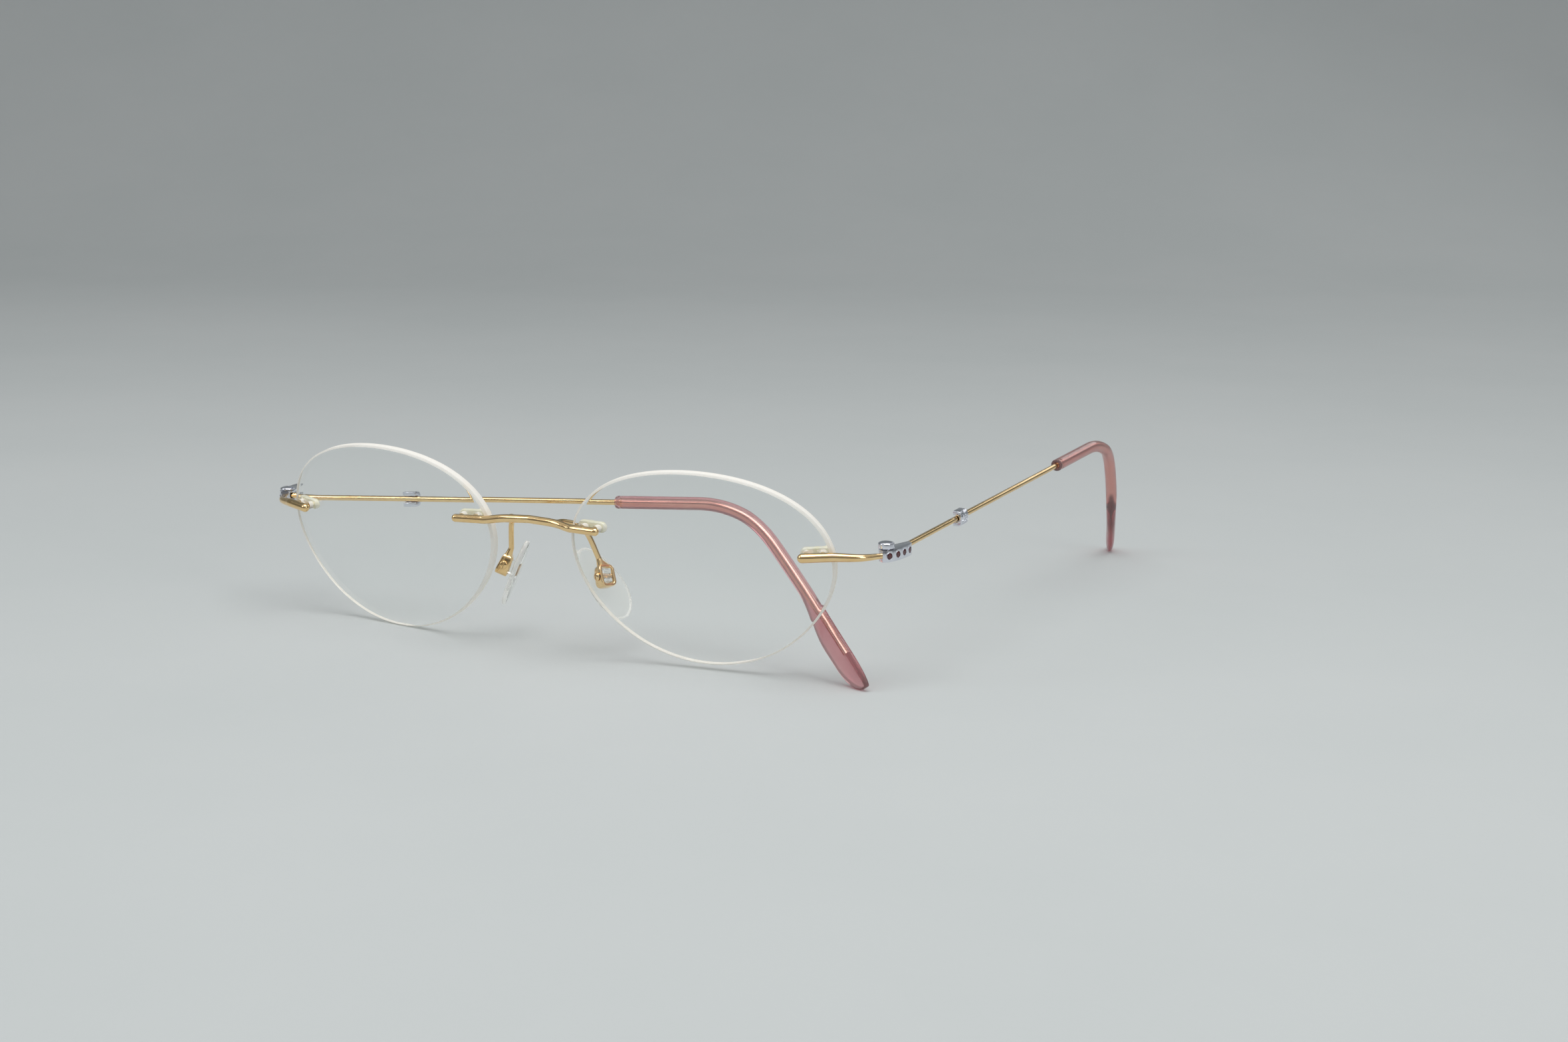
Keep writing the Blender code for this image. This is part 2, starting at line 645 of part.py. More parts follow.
def make_tip():
    """The plastic tip: a sleeve that bends down and widens to a paddle."""
    bm = bmesh.new()
    rings = [[bm.verts.new(p) for p in section_ring(s, ROUND_SIDES)] for s in tip_sections(TIP_END)]
    for ring, following in zip(rings, rings[1:]):
        for i in range(ROUND_SIDES):
            j = (i + 1) % ROUND_SIDES
            bm.faces.new((ring[i], ring[j], following[j], following[i]))
    bm.faces.new(rings[0])
    bm.faces.new(reversed(rings[-1]))
    bmesh.ops.recalc_face_normals(bm, faces=bm.faces)
    tip = from_bmesh("temple_tip_left", bm, Matrix.Identity(4))
    line = wire_line(-FIT_GAP)
    line = [p for p in line if p.y > SLEEVE_AT - CORE_SHORT]
    bore = tube("tip_bore", line, [WIRE_RADIUS + FIT_GAP] * len(line), cutters)
    combine(tip, bore, "DIFFERENCE")
    return tip


def wire_line(shortening):
    """Centre line of the whole wire, from the hinge to its hidden end."""
    front = [ROOT_LENGTH + (SLEEVE_AT - ROOT_LENGTH) * t for t in (0.0, 0.02, 0.3, 0.6, 0.9)]
    straight = [Vector((0.0, y, wire_height(y))) for y in front]
    back = temple_line(TIP_END, SLEEVE_AT, LEG_POINTS)
    end = back[-1]
    return [Vector()] + straight + [p for p in back if (p - end).length > CORE_SHORT + shortening]


def make_wire():
    """The gold temple wire, from its hinge eye to its core in the tip."""
    line = wire_line(0.0)
    radii = [ROOT_RADIUS, ROOT_RADIUS] + [WIRE_RADIUS] * (len(line) - 2)
    wire = tube("temple_wire_left", line, radii)
    half = EYE_HEIGHT / 2
    eye = rod("wire_eye", EYE_RADIUS, (0, 0, -half), (0, 0, half), sides=BORE_SIDES)
    combine(wire, eye, "UNION")
    bore = rod("eye_bore", HINGE_SCREW_RADIUS + FIT_GAP, (0, 0, -2 * half), (0, 0, 2 * half))
    return combine(wire, bore, "DIFFERENCE")


def make_bead():
    """The silver bead: a clip round the wire, open on its inner side."""
    half = BEAD_HEIGHT / 2
    bore = WIRE_RADIUS + FIT_GAP
    face = [(BEAD_FACE * math.cos(a) ** 0.6, half * math.sin(a))
            for a in [math.radians(d) for d in (-75, -50, -25, 0, 25, 50, 75)]]
    outline = [(-BEAD_LIP, -half), *face, (-BEAD_LIP, half), (-BEAD_LIP, bore)]
    outline += arc((0.0, 0.0), bore * 1.04, 90, -90, 7)
    outline += [(-BEAD_LIP, -bore)]
    run = Vector((0.0, 1.0, WIRE_SLOPE)).normalized()
    turn = Matrix(((1.0, 0.0, 0.0), (0.0, -run.z, run.y), (0.0, -run.y, -run.z))).inverted().to_4x4()
    stand = Matrix.Translation((0.0, BEAD_AT, wire_height(BEAD_AT))) @ turn
    return plate("bead_left", outline, BEAD_LENGTH, stand)


# Nose pads are built about the pad's screw: X along it, Y to the nose, Z up.
# The screw lies in the pad's plane, turned away from square to its long axis.
PAD_SIDE = Matrix.Rotation(PAD_SCREW_TURN, 3, PAD_FACE) @ PAD_LONG.cross(PAD_FACE)
PAD_SIDE.normalize()
PAD_UP = PAD_SIDE.cross(PAD_FACE).normalized()
PAD_TURN = Matrix((PAD_SIDE, PAD_FACE.normalized(), PAD_UP)).transposed().to_4x4()
PAD_MOUNT = Matrix.Translation(PAD_BOX) @ PAD_TURN
WINDOW_WIDTH = BOX_WIDTH - 2 * BOX_WALL
WINDOW_LENGTH = BOX_LENGTH - 2 * BOX_WALL


def make_pad_arm():
    """The gold pad arm: a bent wire, a neck and an open box for the pad."""
    neck_top = PAD_MOUNT @ Vector((-NECK_LEAN, 0.0, BOX_LENGTH / 2 + NECK_HEIGHT))
    neck_low = PAD_MOUNT @ Vector((0.0, 0.0, BOX_LENGTH / 2 - BOX_WALL / 2))
    root_y = BRIDGE_ARCH_DEPTH + BRIDGE_RADIUS + SEAT_GAP
    root = Vector((BRIDGE_ARCH_HALF - 0.1 * MM, root_y, bridge_path()[5].z))
    drop = root.z - neck_top.z
    side = neck_top.x - root.x
    depth = neck_top.y - root.y
    path = smooth([
        root,
        root + Vector((0.1 * side, 0.28 * depth, -0.03 * drop)),
        root + Vector((0.5 * side, 0.64 * depth, -0.18 * drop)),
        root + Vector((0.75 * side, 0.8 * depth, -0.42 * drop)),
        neck_top,
    ], 4)
    path.append(neck_low)
    arm = tube("pad_arm_left", path, [ARM_RADIUS] * len(path))
    neck = rod("pad_neck", 0.42 * BOX_WIDTH, neck_low, neck_top, end_radius=ARM_RADIUS * 1.02)
    combine(arm, neck, "UNION")
    box = block("pad_box", (BOX_WIDTH, BOX_DEPTH, BOX_LENGTH), (0.0, 0.0, 0.0))
    window = block("pad_window", (WINDOW_WIDTH, 2 * BOX_DEPTH, WINDOW_LENGTH), (0.0, 0.0, 0.0))
    for tool in (box, window):
        tool.data.transform(PAD_MOUNT)
    combine(arm, box, "UNION")
    combine(arm, window, "DIFFERENCE")
    bore = rod("pad_box_bore", PAD_SCREW_RADIUS + FIT_GAP, PAD_MOUNT @ Vector((-BOX_WIDTH, 0.0, 0.0)),
               PAD_MOUNT @ Vector((BOX_WIDTH, 0.0, 0.0)))
    combine(arm, bore, "DIFFERENCE")
    return arm


def make_nose_pad():
    """The clear nose pad: a drop-shaped cushion with a lug for its screw."""
    bm = bmesh.new()
    bmesh.ops.create_uvsphere(bm, u_segments=16, v_segments=10, radius=1.0)
    for vert in bm.verts:
        x, y, z = vert.co
        taper = 1 - PAD_TAPER * z
        vert.co = Vector((
            x * taper * PAD_WIDTH / 2,
            math.copysign(abs(y) ** 0.8, y) * PAD_THICKNESS / 2,
            z * PAD_LENGTH / 2)) + PAD_CENTRE
    pad = from_bmesh("nose_pad_left", bm, Matrix.Rotation(-PAD_SCREW_TURN, 4, "Y"))
    lug_length = WINDOW_LENGTH - 2 * LUG_GAP
    lug_front = -BOX_DEPTH / 2 + SEAT_GAP
    lug = block("pad_lug", (WINDOW_WIDTH - 2 * SEAT_GAP, PAD_CENTRE.y - lug_front, lug_length),
                (0.0, (PAD_CENTRE.y + lug_front) / 2, 0.0))
    combine(pad, lug, "UNION")
    bore = rod("pad_lug_bore", PAD_SCREW_RADIUS + FIT_GAP, (-BOX_WIDTH, 0, 0), (BOX_WIDTH, 0, 0))
    return combine(pad, bore, "DIFFERENCE")


def make_pad_screw():
    """The small gold screw that the nose pad rocks on."""
    seat = BOX_WIDTH / 2 + FIT_GAP
    top = seat + PAD_SCREW_HEAD_HEIGHT
    profile = [
        (0.0, top), (0.7 * PAD_SCREW_HEAD, top - 0.15 * PAD_SCREW_HEAD_HEIGHT),
        (PAD_SCREW_HEAD, top - 0.6 * PAD_SCREW_HEAD_HEIGHT), (PAD_SCREW_HEAD, seat),
        (PAD_SCREW_RADIUS, seat), (PAD_SCREW_RADIUS, -BOX_WIDTH / 2), (0.0, -BOX_WIDTH / 2),
    ]
    facing = PAD_MOUNT @ Matrix.Rotation(-math.pi / 2, 4, "Y")
    return turned("pad_screw_left", profile, ROUND_SIDES, facing)


# Materials
def paint(name, colour, roughness, metallic, transmission=0.0, alpha=1.0):
    """A Principled material."""
    material = bpy.data.materials.new(name)
    material.use_nodes = True
    shader = material.node_tree.nodes["Principled BSDF"]
    shader.inputs["Base Color"].default_value = (*colour, 1.0)
    shader.inputs["Roughness"].default_value = roughness
    shader.inputs["Metallic"].default_value = metallic
    shader.inputs["Transmission Weight"].default_value = transmission
    shader.inputs["Alpha"].default_value = alpha
    return material


FINISHES = {
    "lens": ((0.93, 0.95, 0.93), 0.05, 0.0, 0.9, 0.35),
    "bushing": ((0.90, 0.90, 0.72), 0.15, 0.0, 0.7, 0.6),
    "bridge": ((0.83, 0.57, 0.20), 0.18, 1.0),
    "end_piece": ((0.83, 0.57, 0.20), 0.18, 1.0),
    "hinge_housing": ((0.72, 0.73, 0.75), 0.22, 1.0),
    "hinge_screw": ((0.80, 0.80, 0.80), 0.15, 1.0),
    "stone": ((0.16, 0.01, 0.03), 0.08, 0.0),
    "temple_wire": ((0.83, 0.57, 0.20), 0.22, 1.0),
    "bead": ((0.74, 0.75, 0.77), 0.3, 1.0),
    "temple_tip": ((0.52, 0.27, 0.30), 0.25, 0.0),
    "pad_arm": ((0.80, 0.53, 0.18), 0.2, 1.0),
    "pad_screw": ((0.80, 0.53, 0.18), 0.2, 1.0),
    "nose_pad": ((0.92, 0.92, 0.88), 0.12, 0.0, 0.8, 0.4),
}


def dress(obj):
    """Give a piece its own material and smooth its round faces."""
    kind = max((k for k in FINISHES if obj.name.startswith(k)), key=len)
    obj.data.materials.clear()
    obj.data.materials.append(paint(obj.name, *FINISHES[kind]))
    obj.data.shade_smooth()
    obj.data.set_sharp_from_angle(angle=math.radians(35.0))


def pivot(name, location, turn, parent):
    """An empty on a joint's axis."""
    empty = bpy.data.objects.new(name, None)
    empty.empty_display_size = 0.005
    empty.location = location
    empty.rotation_euler = turn
    empty.parent = parent
    parts.objects.link(empty)
    return empty


# The whole frame hangs on one empty, which sets it down on the table
stand = pivot("frame_stand", (0, 0, 0), (0, 0, 0), None)
mirror_x = Vector((-1.0, 1.0, 1.0))

end_piece, end_channel = make_end_piece()
fixed_left = [make_lens(), make_bushing("nasal", NASAL_MOUNT, -BUSHING_SHIFT),
              make_bushing("temporal", TEMPORAL_MOUNT, BUSHING_SHIFT),
              end_piece, make_housing(end_channel), *make_stones(), make_pad_arm(), make_pad_screw()]
fixed = [make_bridge(), *fixed_left]
fixed += [mirrored(piece, piece.name.replace("left", "right")) for piece in fixed_left]
fixed += [make_hinge_screw("left", HINGE, LEFT_SCREW_COLLAR), make_hinge_screw("right", HINGE * mirror_x, 0.0)]
for piece in fixed:
    piece.parent = stand

temple_left = pivot("temple_hinge_left", HINGE, (0, 0, -OPEN_SPLAY), stand)
temple_right = pivot("temple_hinge_right", HINGE * mirror_x, (0, 0, -FOLD_RIGHT), stand)
for piece in (make_wire(), make_bead(), make_tip()):
    piece.parent = temple_left
    mirrored(piece, piece.name.replace("left", "right")).parent = temple_right

pad_left = pivot("pad_pivot_left", PAD_BOX, (0, 0, 0), stand)
pad_right = pivot("pad_pivot_right", PAD_BOX * mirror_x, (0, 0, 0), stand)
pad = make_nose_pad()
pad.data.transform(PAD_TURN)
pad.parent = pad_left
mirrored(pad, "nose_pad_right").parent = pad_right


def lowest_point(name):
    """A piece's lowest corner in the world."""
    obj = bpy.data.objects[name]
    return min((obj.matrix_world @ vert.co for vert in obj.data.vertices), key=lambda p: p.z)


def set_down():
    """Turn and lower the frame until its three feet stand on the table."""
    for _ in range(6):
        bpy.context.view_layer.update()
        lens_foot, right_tip, left_tip = [
            lowest_point(name) for name in ("lens_right", "temple_tip_right", "temple_tip_left")]
        up = (right_tip - lens_foot).cross(left_tip - lens_foot).normalized()
        turn = up.rotation_difference(Vector((0.0, 0.0, 1.0))).to_matrix().to_4x4()
        stand.matrix_world = turn @ Matrix.Translation((0.0, 0.0, -lens_foot.z)) @ stand.matrix_world
    bpy.context.view_layer.update()


def centre_footprint():
    """Move the frame so that the middle of its footprint is the origin."""
    corners = [piece.matrix_world @ vert.co for piece in pieces for vert in piece.data.vertices]
    low = [min(c[i] for c in corners) for i in range(3)]
    high = [max(c[i] for c in corners) for i in range(3)]
    shift = Vector(((low[0] + high[0]) / 2, (low[1] + high[1]) / 2, low[2]))
    stand.matrix_world = Matrix.Translation(-shift) @ stand.matrix_world
    bpy.context.view_layer.update()


pieces = [obj for obj in parts.objects if obj.type == "MESH"]
for piece in pieces:
    dress(piece)
set_down()
centre_footprint()

for joint in (temple_left, temple_right, pad_left, pad_right):
    print(joint.name, [round(c, 6) for c in joint.matrix_world.translation])
print("hinge axis", [round(c, 6) for c in stand.matrix_world.to_3x3() @ Vector((0.0, 0.0, 1.0))])
for label, axis in (("left", PAD_SIDE), ("right", PAD_SIDE * mirror_x)):
    print("pad axis", label, [round(c, 6) for c in stand.matrix_world.to_3x3() @ axis])
print("stand", [[round(c, 7) for c in row] for row in stand.matrix_world])
for name in ("lens_right", "lens_left", "temple_tip_right", "temple_tip_left"):
    print("foot", name, [round(c * 1000, 2) for c in lowest_point(name)])
for piece in pieces:
    piece.data.calc_loop_triangles()
    print(piece.name, len(piece.data.loop_triangles), "triangles")
print("all", sum(len(p.data.loop_triangles) for p in pieces), "triangles")
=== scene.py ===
# %% [markdown]
# # Rimless spectacles, dressed for a studio picture
# The CAD model gives every piece its size and its place. This lesson replaces its plain solids with finer ones of
# the same sizes and gives each a finish. The real frame has no rims: gold bars are pinned straight to the lenses.
# Everything is in metres, and each mesh ends up exactly where the CAD piece stands.

# %% Load the finished frame
import math

import bmesh
import bpy
from mathutils import Matrix, Vector


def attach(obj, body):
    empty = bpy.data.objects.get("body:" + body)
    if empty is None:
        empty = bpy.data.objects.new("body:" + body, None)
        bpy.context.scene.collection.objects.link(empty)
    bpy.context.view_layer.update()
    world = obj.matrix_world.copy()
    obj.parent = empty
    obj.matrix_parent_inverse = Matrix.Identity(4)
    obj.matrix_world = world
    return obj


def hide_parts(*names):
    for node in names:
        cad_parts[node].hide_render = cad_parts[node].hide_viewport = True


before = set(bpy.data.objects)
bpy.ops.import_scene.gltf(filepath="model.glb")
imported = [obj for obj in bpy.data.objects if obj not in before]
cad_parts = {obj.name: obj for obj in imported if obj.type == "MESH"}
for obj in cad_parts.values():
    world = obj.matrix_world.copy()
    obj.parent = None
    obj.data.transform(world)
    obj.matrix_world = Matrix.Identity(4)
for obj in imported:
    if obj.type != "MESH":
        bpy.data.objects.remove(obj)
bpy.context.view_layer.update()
MM, MICRON = 0.001, 0.000001

# %% [markdown]
# ## Where each piece stands
# A frame maker draws the spectacles upright and square. On the table they lean a little, because they rest on one
# lens and two temple tips. So each piece is built in the upright drawing, and a matrix sets it down on the table.
# The wearer's right side is the left side mirrored.

# %% Matrices that set the drawing on the table
STAND = Matrix((
    (0.9998845, -0.000001, -0.015199, -0.0010197),
    (-0.000001, 1.0, -0.0001255, -0.0669082),
    (0.015199, 0.0001255, 0.9998845, 0.000482),
    (0.0, 0.0, 0.0, 1.0)))
MIRROR = Matrix.Scale(-1.0, 4, (1.0, 0.0, 0.0))
HINGE = Vector((62.7, 11.7, 21.0)) * MM
OPEN_SPLAY = math.radians(2.3)
FOLD_RIGHT = math.radians(88.4)
FRONT = {"left": STAND, "right": STAND @ MIRROR}
TEMPLE = {
    "left": STAND @ Matrix.Translation(HINGE) @ Matrix.Rotation(-OPEN_SPLAY, 4, "Z"),
    "right": STAND @ Matrix.Translation(MIRROR @ HINGE) @ Matrix.Rotation(-FOLD_RIGHT, 4, "Z") @ MIRROR,
}
print("hinges in mm:", [[round(c / MM, 2) for c in TEMPLE[side].translation] for side in TEMPLE])

# %% [markdown]
# ## Camera
# The photograph is taken from the wearer's front left, a little above the frame. A camera is a place and three
# directions, so its matrix can be written straight from them. A long lens keeps both temples in proportion.

# %% Camera at the photograph's view
CAMERA_RIGHT, CAMERA_UP = Vector((0.8903, 0.4553, -0.0031)), Vector((-0.0841, 0.1712, 0.9816))
CAMERA_SPOT, CAMERA_LENS = Vector((0.22053, -0.33379, 0.10048)), 53.41
turn = Matrix((CAMERA_RIGHT, CAMERA_UP, CAMERA_RIGHT.cross(CAMERA_UP))).transposed().to_quaternion()
camera = bpy.data.objects.new("camera", bpy.data.cameras.new("camera"))
camera.data.sensor_width = 36.0
camera.data.lens = CAMERA_LENS
camera.data.clip_start = 0.01
camera.matrix_world = STAND @ Matrix.LocRotScale(CAMERA_SPOT, turn, None)
bpy.context.scene.collection.objects.link(camera)
bpy.context.scene.camera = camera
print("camera in mm:", [round(c / MM) for c in camera.matrix_world.translation])

# %% [markdown]
# ## Floor
# The spectacles stand on a pale sheet that rises behind them in one soft curve, as on a photographer's table. A
# curve hides the line where floor and wall meet. The sheet is a row of points swept sideways, with a faint paper
# grain so that it isn't perfectly even. It is wide, so that its edges stay out of sight from the sides too.

# %% Pale sheet that curves up behind
SHEET_REACH, BEND_START, BEND_RADIUS, SHEET_TOP = 8.0, 0.6, 0.6, 1.6


def sheet_profile():
    """Points (back, height) along the sheet, from the front to the top."""
    angles = [math.radians(a) for a in range(6, 91, 6)]
    bend = [(BEND_START + BEND_RADIUS * math.sin(a), BEND_RADIUS - BEND_RADIUS * math.cos(a)) for a in angles]
    return [(-SHEET_REACH, 0.0), (0.0, 0.0), (BEND_START, 0.0), *bend, (BEND_START + BEND_RADIUS, SHEET_TOP)]


profile = sheet_profile()
forward = (camera.matrix_world.to_3x3() @ Vector((0.0, 0.0, -1.0))).to_2d().normalized()
aside = Vector((forward.y, -forward.x))
corners = [(*(aside * side + forward * back), height)
           for back, height in profile for side in (-SHEET_REACH, SHEET_REACH)]
faces = [(2 * i, 2 * i + 1, 2 * i + 3, 2 * i + 2) for i in range(len(profile) - 1)]
sheet_mesh = bpy.data.meshes.new("paper_sheet")
sheet_mesh.from_pydata(corners, [], faces)
sheet_mesh.shade_smooth()
paper_sheet = bpy.data.objects.new("paper_sheet", sheet_mesh)
bpy.context.scene.collection.objects.link(paper_sheet)
print("sheet of", len(faces), "faces")

# %% [markdown]
# ## Light
# Polished metal shows what stands round it, so a bar looks like gold only when it mirrors both bright and darker
# places. Three large soft lamps, above, front left and right, give the bright ones. A weak one at the back draws a
# line along the open temple, and a world that is dim near the horizon gives the darker ones. Together they are
# about as strong as plain daylight is to a camera, so a colour renders about as it is written.

# %% Lamps and world
def soft_lamp(name, place, size, watts):
    """A large area lamp that looks at the middle of the spectacles."""
    data = bpy.data.lights.new(name, "AREA")
    data.shape = "RECTANGLE"
    data.size, data.size_y = size
    data.energy = watts
    lamp = bpy.data.objects.new(name, data)
    lamp.location = place
    lamp.rotation_euler = (Vector((0.0, 0.0, 0.02)) - Vector(place)).to_track_quat("-Z", "Y").to_euler()
    bpy.context.scene.collection.objects.link(lamp)
    return lamp


lamps = [
    soft_lamp("lamp_above", (0.12, -0.15, 0.60), (0.6, 0.4), 2.3),
    soft_lamp("lamp_front_left", (-0.60, -0.55, 0.50), (0.25, 0.5), 1.0),
    soft_lamp("lamp_right", (0.75, -0.30, 0.40), (0.2, 0.5), 0.8),
    soft_lamp("lamp_back", (0.15, 0.85, 0.42), (0.5, 0.2), 0.35),
]
world = bpy.data.worlds.new("studio")
world.use_nodes = True
sky = world.node_tree.nodes["Background"]
sky.inputs["Color"].default_value = (0.96, 0.98, 1.0, 1.0)
height = world.node_tree.nodes.new("ShaderNodeSeparateXYZ")
fade = world.node_tree.nodes.new("ShaderNodeMapRange")
for label, value in (("From Min", 0.12), ("From Max", 0.8), ("To Min", 0.12), ("To Max", 0.52)):
    fade.inputs[label].default_value = value
direction = world.node_tree.nodes.new("ShaderNodeTexCoord")
world.node_tree.links.new(direction.outputs["Generated"], height.inputs["Vector"])
world.node_tree.links.new(height.outputs["Z"], fade.inputs["Value"])
world.node_tree.links.new(fade.outputs["Result"], sky.inputs["Strength"])
bpy.context.scene.world = world
bpy.context.scene.view_settings.view_transform = "Standard"
print(len(lamps), "lamps")

# %% [markdown]
# ## Finishes: small helpers
# A finish that is the same all over looks like plastic putty. Real metal has faint scratches, and fingers leave a
# haze that dulls it in patches. Both are made once, as node groups, and each material plugs them in. They read
# object coordinates in metres, so a scale of 1000 gives patches about a millimetre across.

# %% Shader node groups for scratches, haze and drawing lines
def new_group(name, inputs, output="Mask"):
    """An empty shader group with its sockets."""
    group = bpy.data.node_groups.new(name, "ShaderNodeTree")
    for label, kind, value in inputs:
        socket = group.interface.new_socket(label, in_out="INPUT", socket_type=kind)
        if value is not None:
            socket.default_value = value
    group.interface.new_socket(output, in_out="OUTPUT", socket_type="NodeSocketFloat")
    return group, group.nodes.new("NodeGroupInput"), group.nodes.new("NodeGroupOutput")


def stretch_contrast(group, source, low, high):
    """Spread the part of a value between two limits over 0 to 1."""
    spread = group.nodes.new("ShaderNodeMapRange")
    spread.inputs["From Min"].default_value = low
    spread.inputs["From Max"].default_value = high
    group.links.new(source, spread.inputs["Value"])
    return spread.outputs["Result"]


def make_scratches():
    """Thin crossing streaks: noise squeezed along two directions."""
    group, start, end = new_group("Fine scratches", [
        ("Vector", "NodeSocketVector", None), ("Scale", "NodeSocketFloat", 900.0)])
    streaks = []
    for turn_z, squeeze in ((0.5, (1.0, 22.0, 9.0)), (2.2, (20.0, 1.0, 14.0))):
        mapping = group.nodes.new("ShaderNodeMapping")
        mapping.inputs["Rotation"].default_value = (0.4, 0.7, turn_z)
        mapping.inputs["Scale"].default_value = squeeze
        noise = group.nodes.new("ShaderNodeTexNoise")
        noise.inputs["Detail"].default_value = 2.0
        group.links.new(start.outputs["Vector"], mapping.inputs["Vector"])
        group.links.new(mapping.outputs["Vector"], noise.inputs["Vector"])
        group.links.new(start.outputs["Scale"], noise.inputs["Scale"])
        streaks.append(stretch_contrast(group, noise.outputs["Fac"], 0.60, 0.72))
    either = group.nodes.new("ShaderNodeMath")
    either.operation = "MAXIMUM"
    group.links.new(streaks[0], either.inputs[0])
    group.links.new(streaks[1], either.inputs[1])
    group.links.new(either.outputs["Value"], end.inputs["Mask"])
    return group


def make_haze():
    """Cloudy patches, as handling leaves them."""
    group, start, end = new_group("Handling haze", [
        ("Vector", "NodeSocketVector", None), ("Scale", "NodeSocketFloat", 400.0)])
    noise = group.nodes.new("ShaderNodeTexNoise")
    noise.inputs["Detail"].default_value = 5.0
    noise.inputs["Roughness"].default_value = 0.6
    group.links.new(start.outputs["Vector"], noise.inputs["Vector"])
    group.links.new(start.outputs["Scale"], noise.inputs["Scale"])
    group.links.new(stretch_contrast(group, noise.outputs["Fac"], 0.36, 0.66), end.inputs["Mask"])
    return group


def make_drawing_lines():
    """Long lines that follow a drawn wire, from its own attributes."""
    group, start, end = new_group("Drawing lines", [("Scale", "NodeSocketFloat", 9.0)])
    around = group.nodes.new("ShaderNodeAttribute")
    around.attribute_name = "around"
    along = group.nodes.new("ShaderNodeAttribute")
    along.attribute_name = "along"
    slow = group.nodes.new("ShaderNodeMath")
    slow.operation = "MULTIPLY"
    slow.inputs[1].default_value = 30.0
    place = group.nodes.new("ShaderNodeCombineXYZ")
    noise = group.nodes.new("ShaderNodeTexNoise")
    noise.inputs["Detail"].default_value = 4.0
    group.links.new(along.outputs["Fac"], slow.inputs[0])
    group.links.new(slow.outputs["Value"], place.inputs["X"])
    group.links.new(around.outputs["Vector"], place.inputs["Y"])
    group.links.new(place.outputs["Vector"], noise.inputs["Vector"])
    group.links.new(start.outputs["Scale"], noise.inputs["Scale"])
    group.links.new(stretch_contrast(group, noise.outputs["Fac"], 0.3, 0.7), end.inputs["Mask"])
    return group


SCRATCHES = make_scratches()
HAZE = make_haze()
DRAWING_LINES = make_drawing_lines()
print("groups:", SCRATCHES.name, HAZE.name, DRAWING_LINES.name)

# %% [markdown]
# ## Finishes: the tools that build a material
# Every material starts with the Principled shader. Constants such as the metal share are set on the shader itself.
# Only what varies over the surface gets nodes: a colour that wanders between two tones, a roughness that rises in
# the haze and in scratches, and a very low bump.

# %% Helpers that build one material
class Finish:
    """A Principled material with a few common moves."""

    def __init__(self, name, **values):
        self.material = bpy.data.materials.new(name)
        self.material.use_nodes = True
        self.nodes = self.material.node_tree.nodes
        self.links = self.material.node_tree.links
        self.shader = self.nodes["Principled BSDF"]
        self.object_place = self.nodes.new("ShaderNodeTexCoord").outputs["Object"]
        for label, value in values.items():
            self.shader.inputs[label.replace("_", " ")].default_value = value

    def mask(self, group, scale):
        """The mask of a node group at one scale."""
        node = self.nodes.new("ShaderNodeGroup")
        node.node_tree = group
        node.inputs["Scale"].default_value = scale
        if "Vector" in node.inputs:
            self.links.new(self.object_place, node.inputs["Vector"])
        return node.outputs["Mask"]

    def blend(self, mask, first, second):
        """A colour between two, by a mask."""
        mix = self.nodes.new("ShaderNodeMix")
        mix.data_type = "RGBA"
        self.links.new(mask, mix.inputs[0])
        for socket, colour in ((mix.inputs[6], first), (mix.inputs[7], second)):
            if isinstance(colour, tuple):
                socket.default_value = (*colour, 1.0)
            else:
                self.links.new(colour, socket)
        return mix.outputs[2]

    def level(self, mask, low, high):
        """A number between two, by a mask."""
        spread = self.nodes.new("ShaderNodeMapRange")
        spread.inputs["To Min"].default_value = low
        spread.inputs["To Max"].default_value = high
        self.links.new(mask, spread.inputs["Value"])
        return spread.outputs["Result"]

    def join(self, operation, first, second):
        """Two numbers made one."""
        math_node = self.nodes.new("ShaderNodeMath")
        math_node.operation = operation
        for socket, value in zip(math_node.inputs, (first, second)):
            if isinstance(value, float):
                socket.default_value = value
            else:
                self.links.new(value, socket)
        return math_node.outputs["Value"]

    def bump(self, height, distance, strength=1.0):
        """Feed a height to the normal, in metres."""
        node = self.nodes.new("ShaderNodeBump")
        node.inputs["Distance"].default_value = distance
        node.inputs["Strength"].default_value = strength
        self.links.new(height, node.inputs["Height"])
        self.links.new(node.outputs["Normal"], self.shader.inputs["Normal"])

    def feed(self, label, source):
        """Plug a source into the shader."""
        self.links.new(source, self.shader.inputs[label])

    def absorb(self, colour, density):
        """Deepen the colour with the length of the way through the piece."""
        volume = self.nodes.new("ShaderNodeVolumeAbsorption")
        volume.inputs["Color"].default_value = (*colour, 1.0)
        volume.inputs["Density"].default_value = density
        self.links.new(volume.outputs["Volume"], self.nodes["Material Output"].inputs["Volume"])

    def pass_light(self, share):
        """Let a share of the lamps' light pass, for shadow rays alone."""
        path = self.nodes.new("ShaderNodeLightPath")
        clear = self.nodes.new("ShaderNodeBsdfTransparent")
        mix = self.nodes.new("ShaderNodeMixShader")
        self.links.new(self.join("MULTIPLY", path.outputs["Is Shadow Ray"], share), mix.inputs["Fac"])
        self.links.new(self.shader.outputs["BSDF"], mix.inputs[1])
        self.links.new(clear.outputs["BSDF"], mix.inputs[2])
        self.links.new(mix.outputs["Shader"], self.nodes["Material Output"].inputs["Surface"])


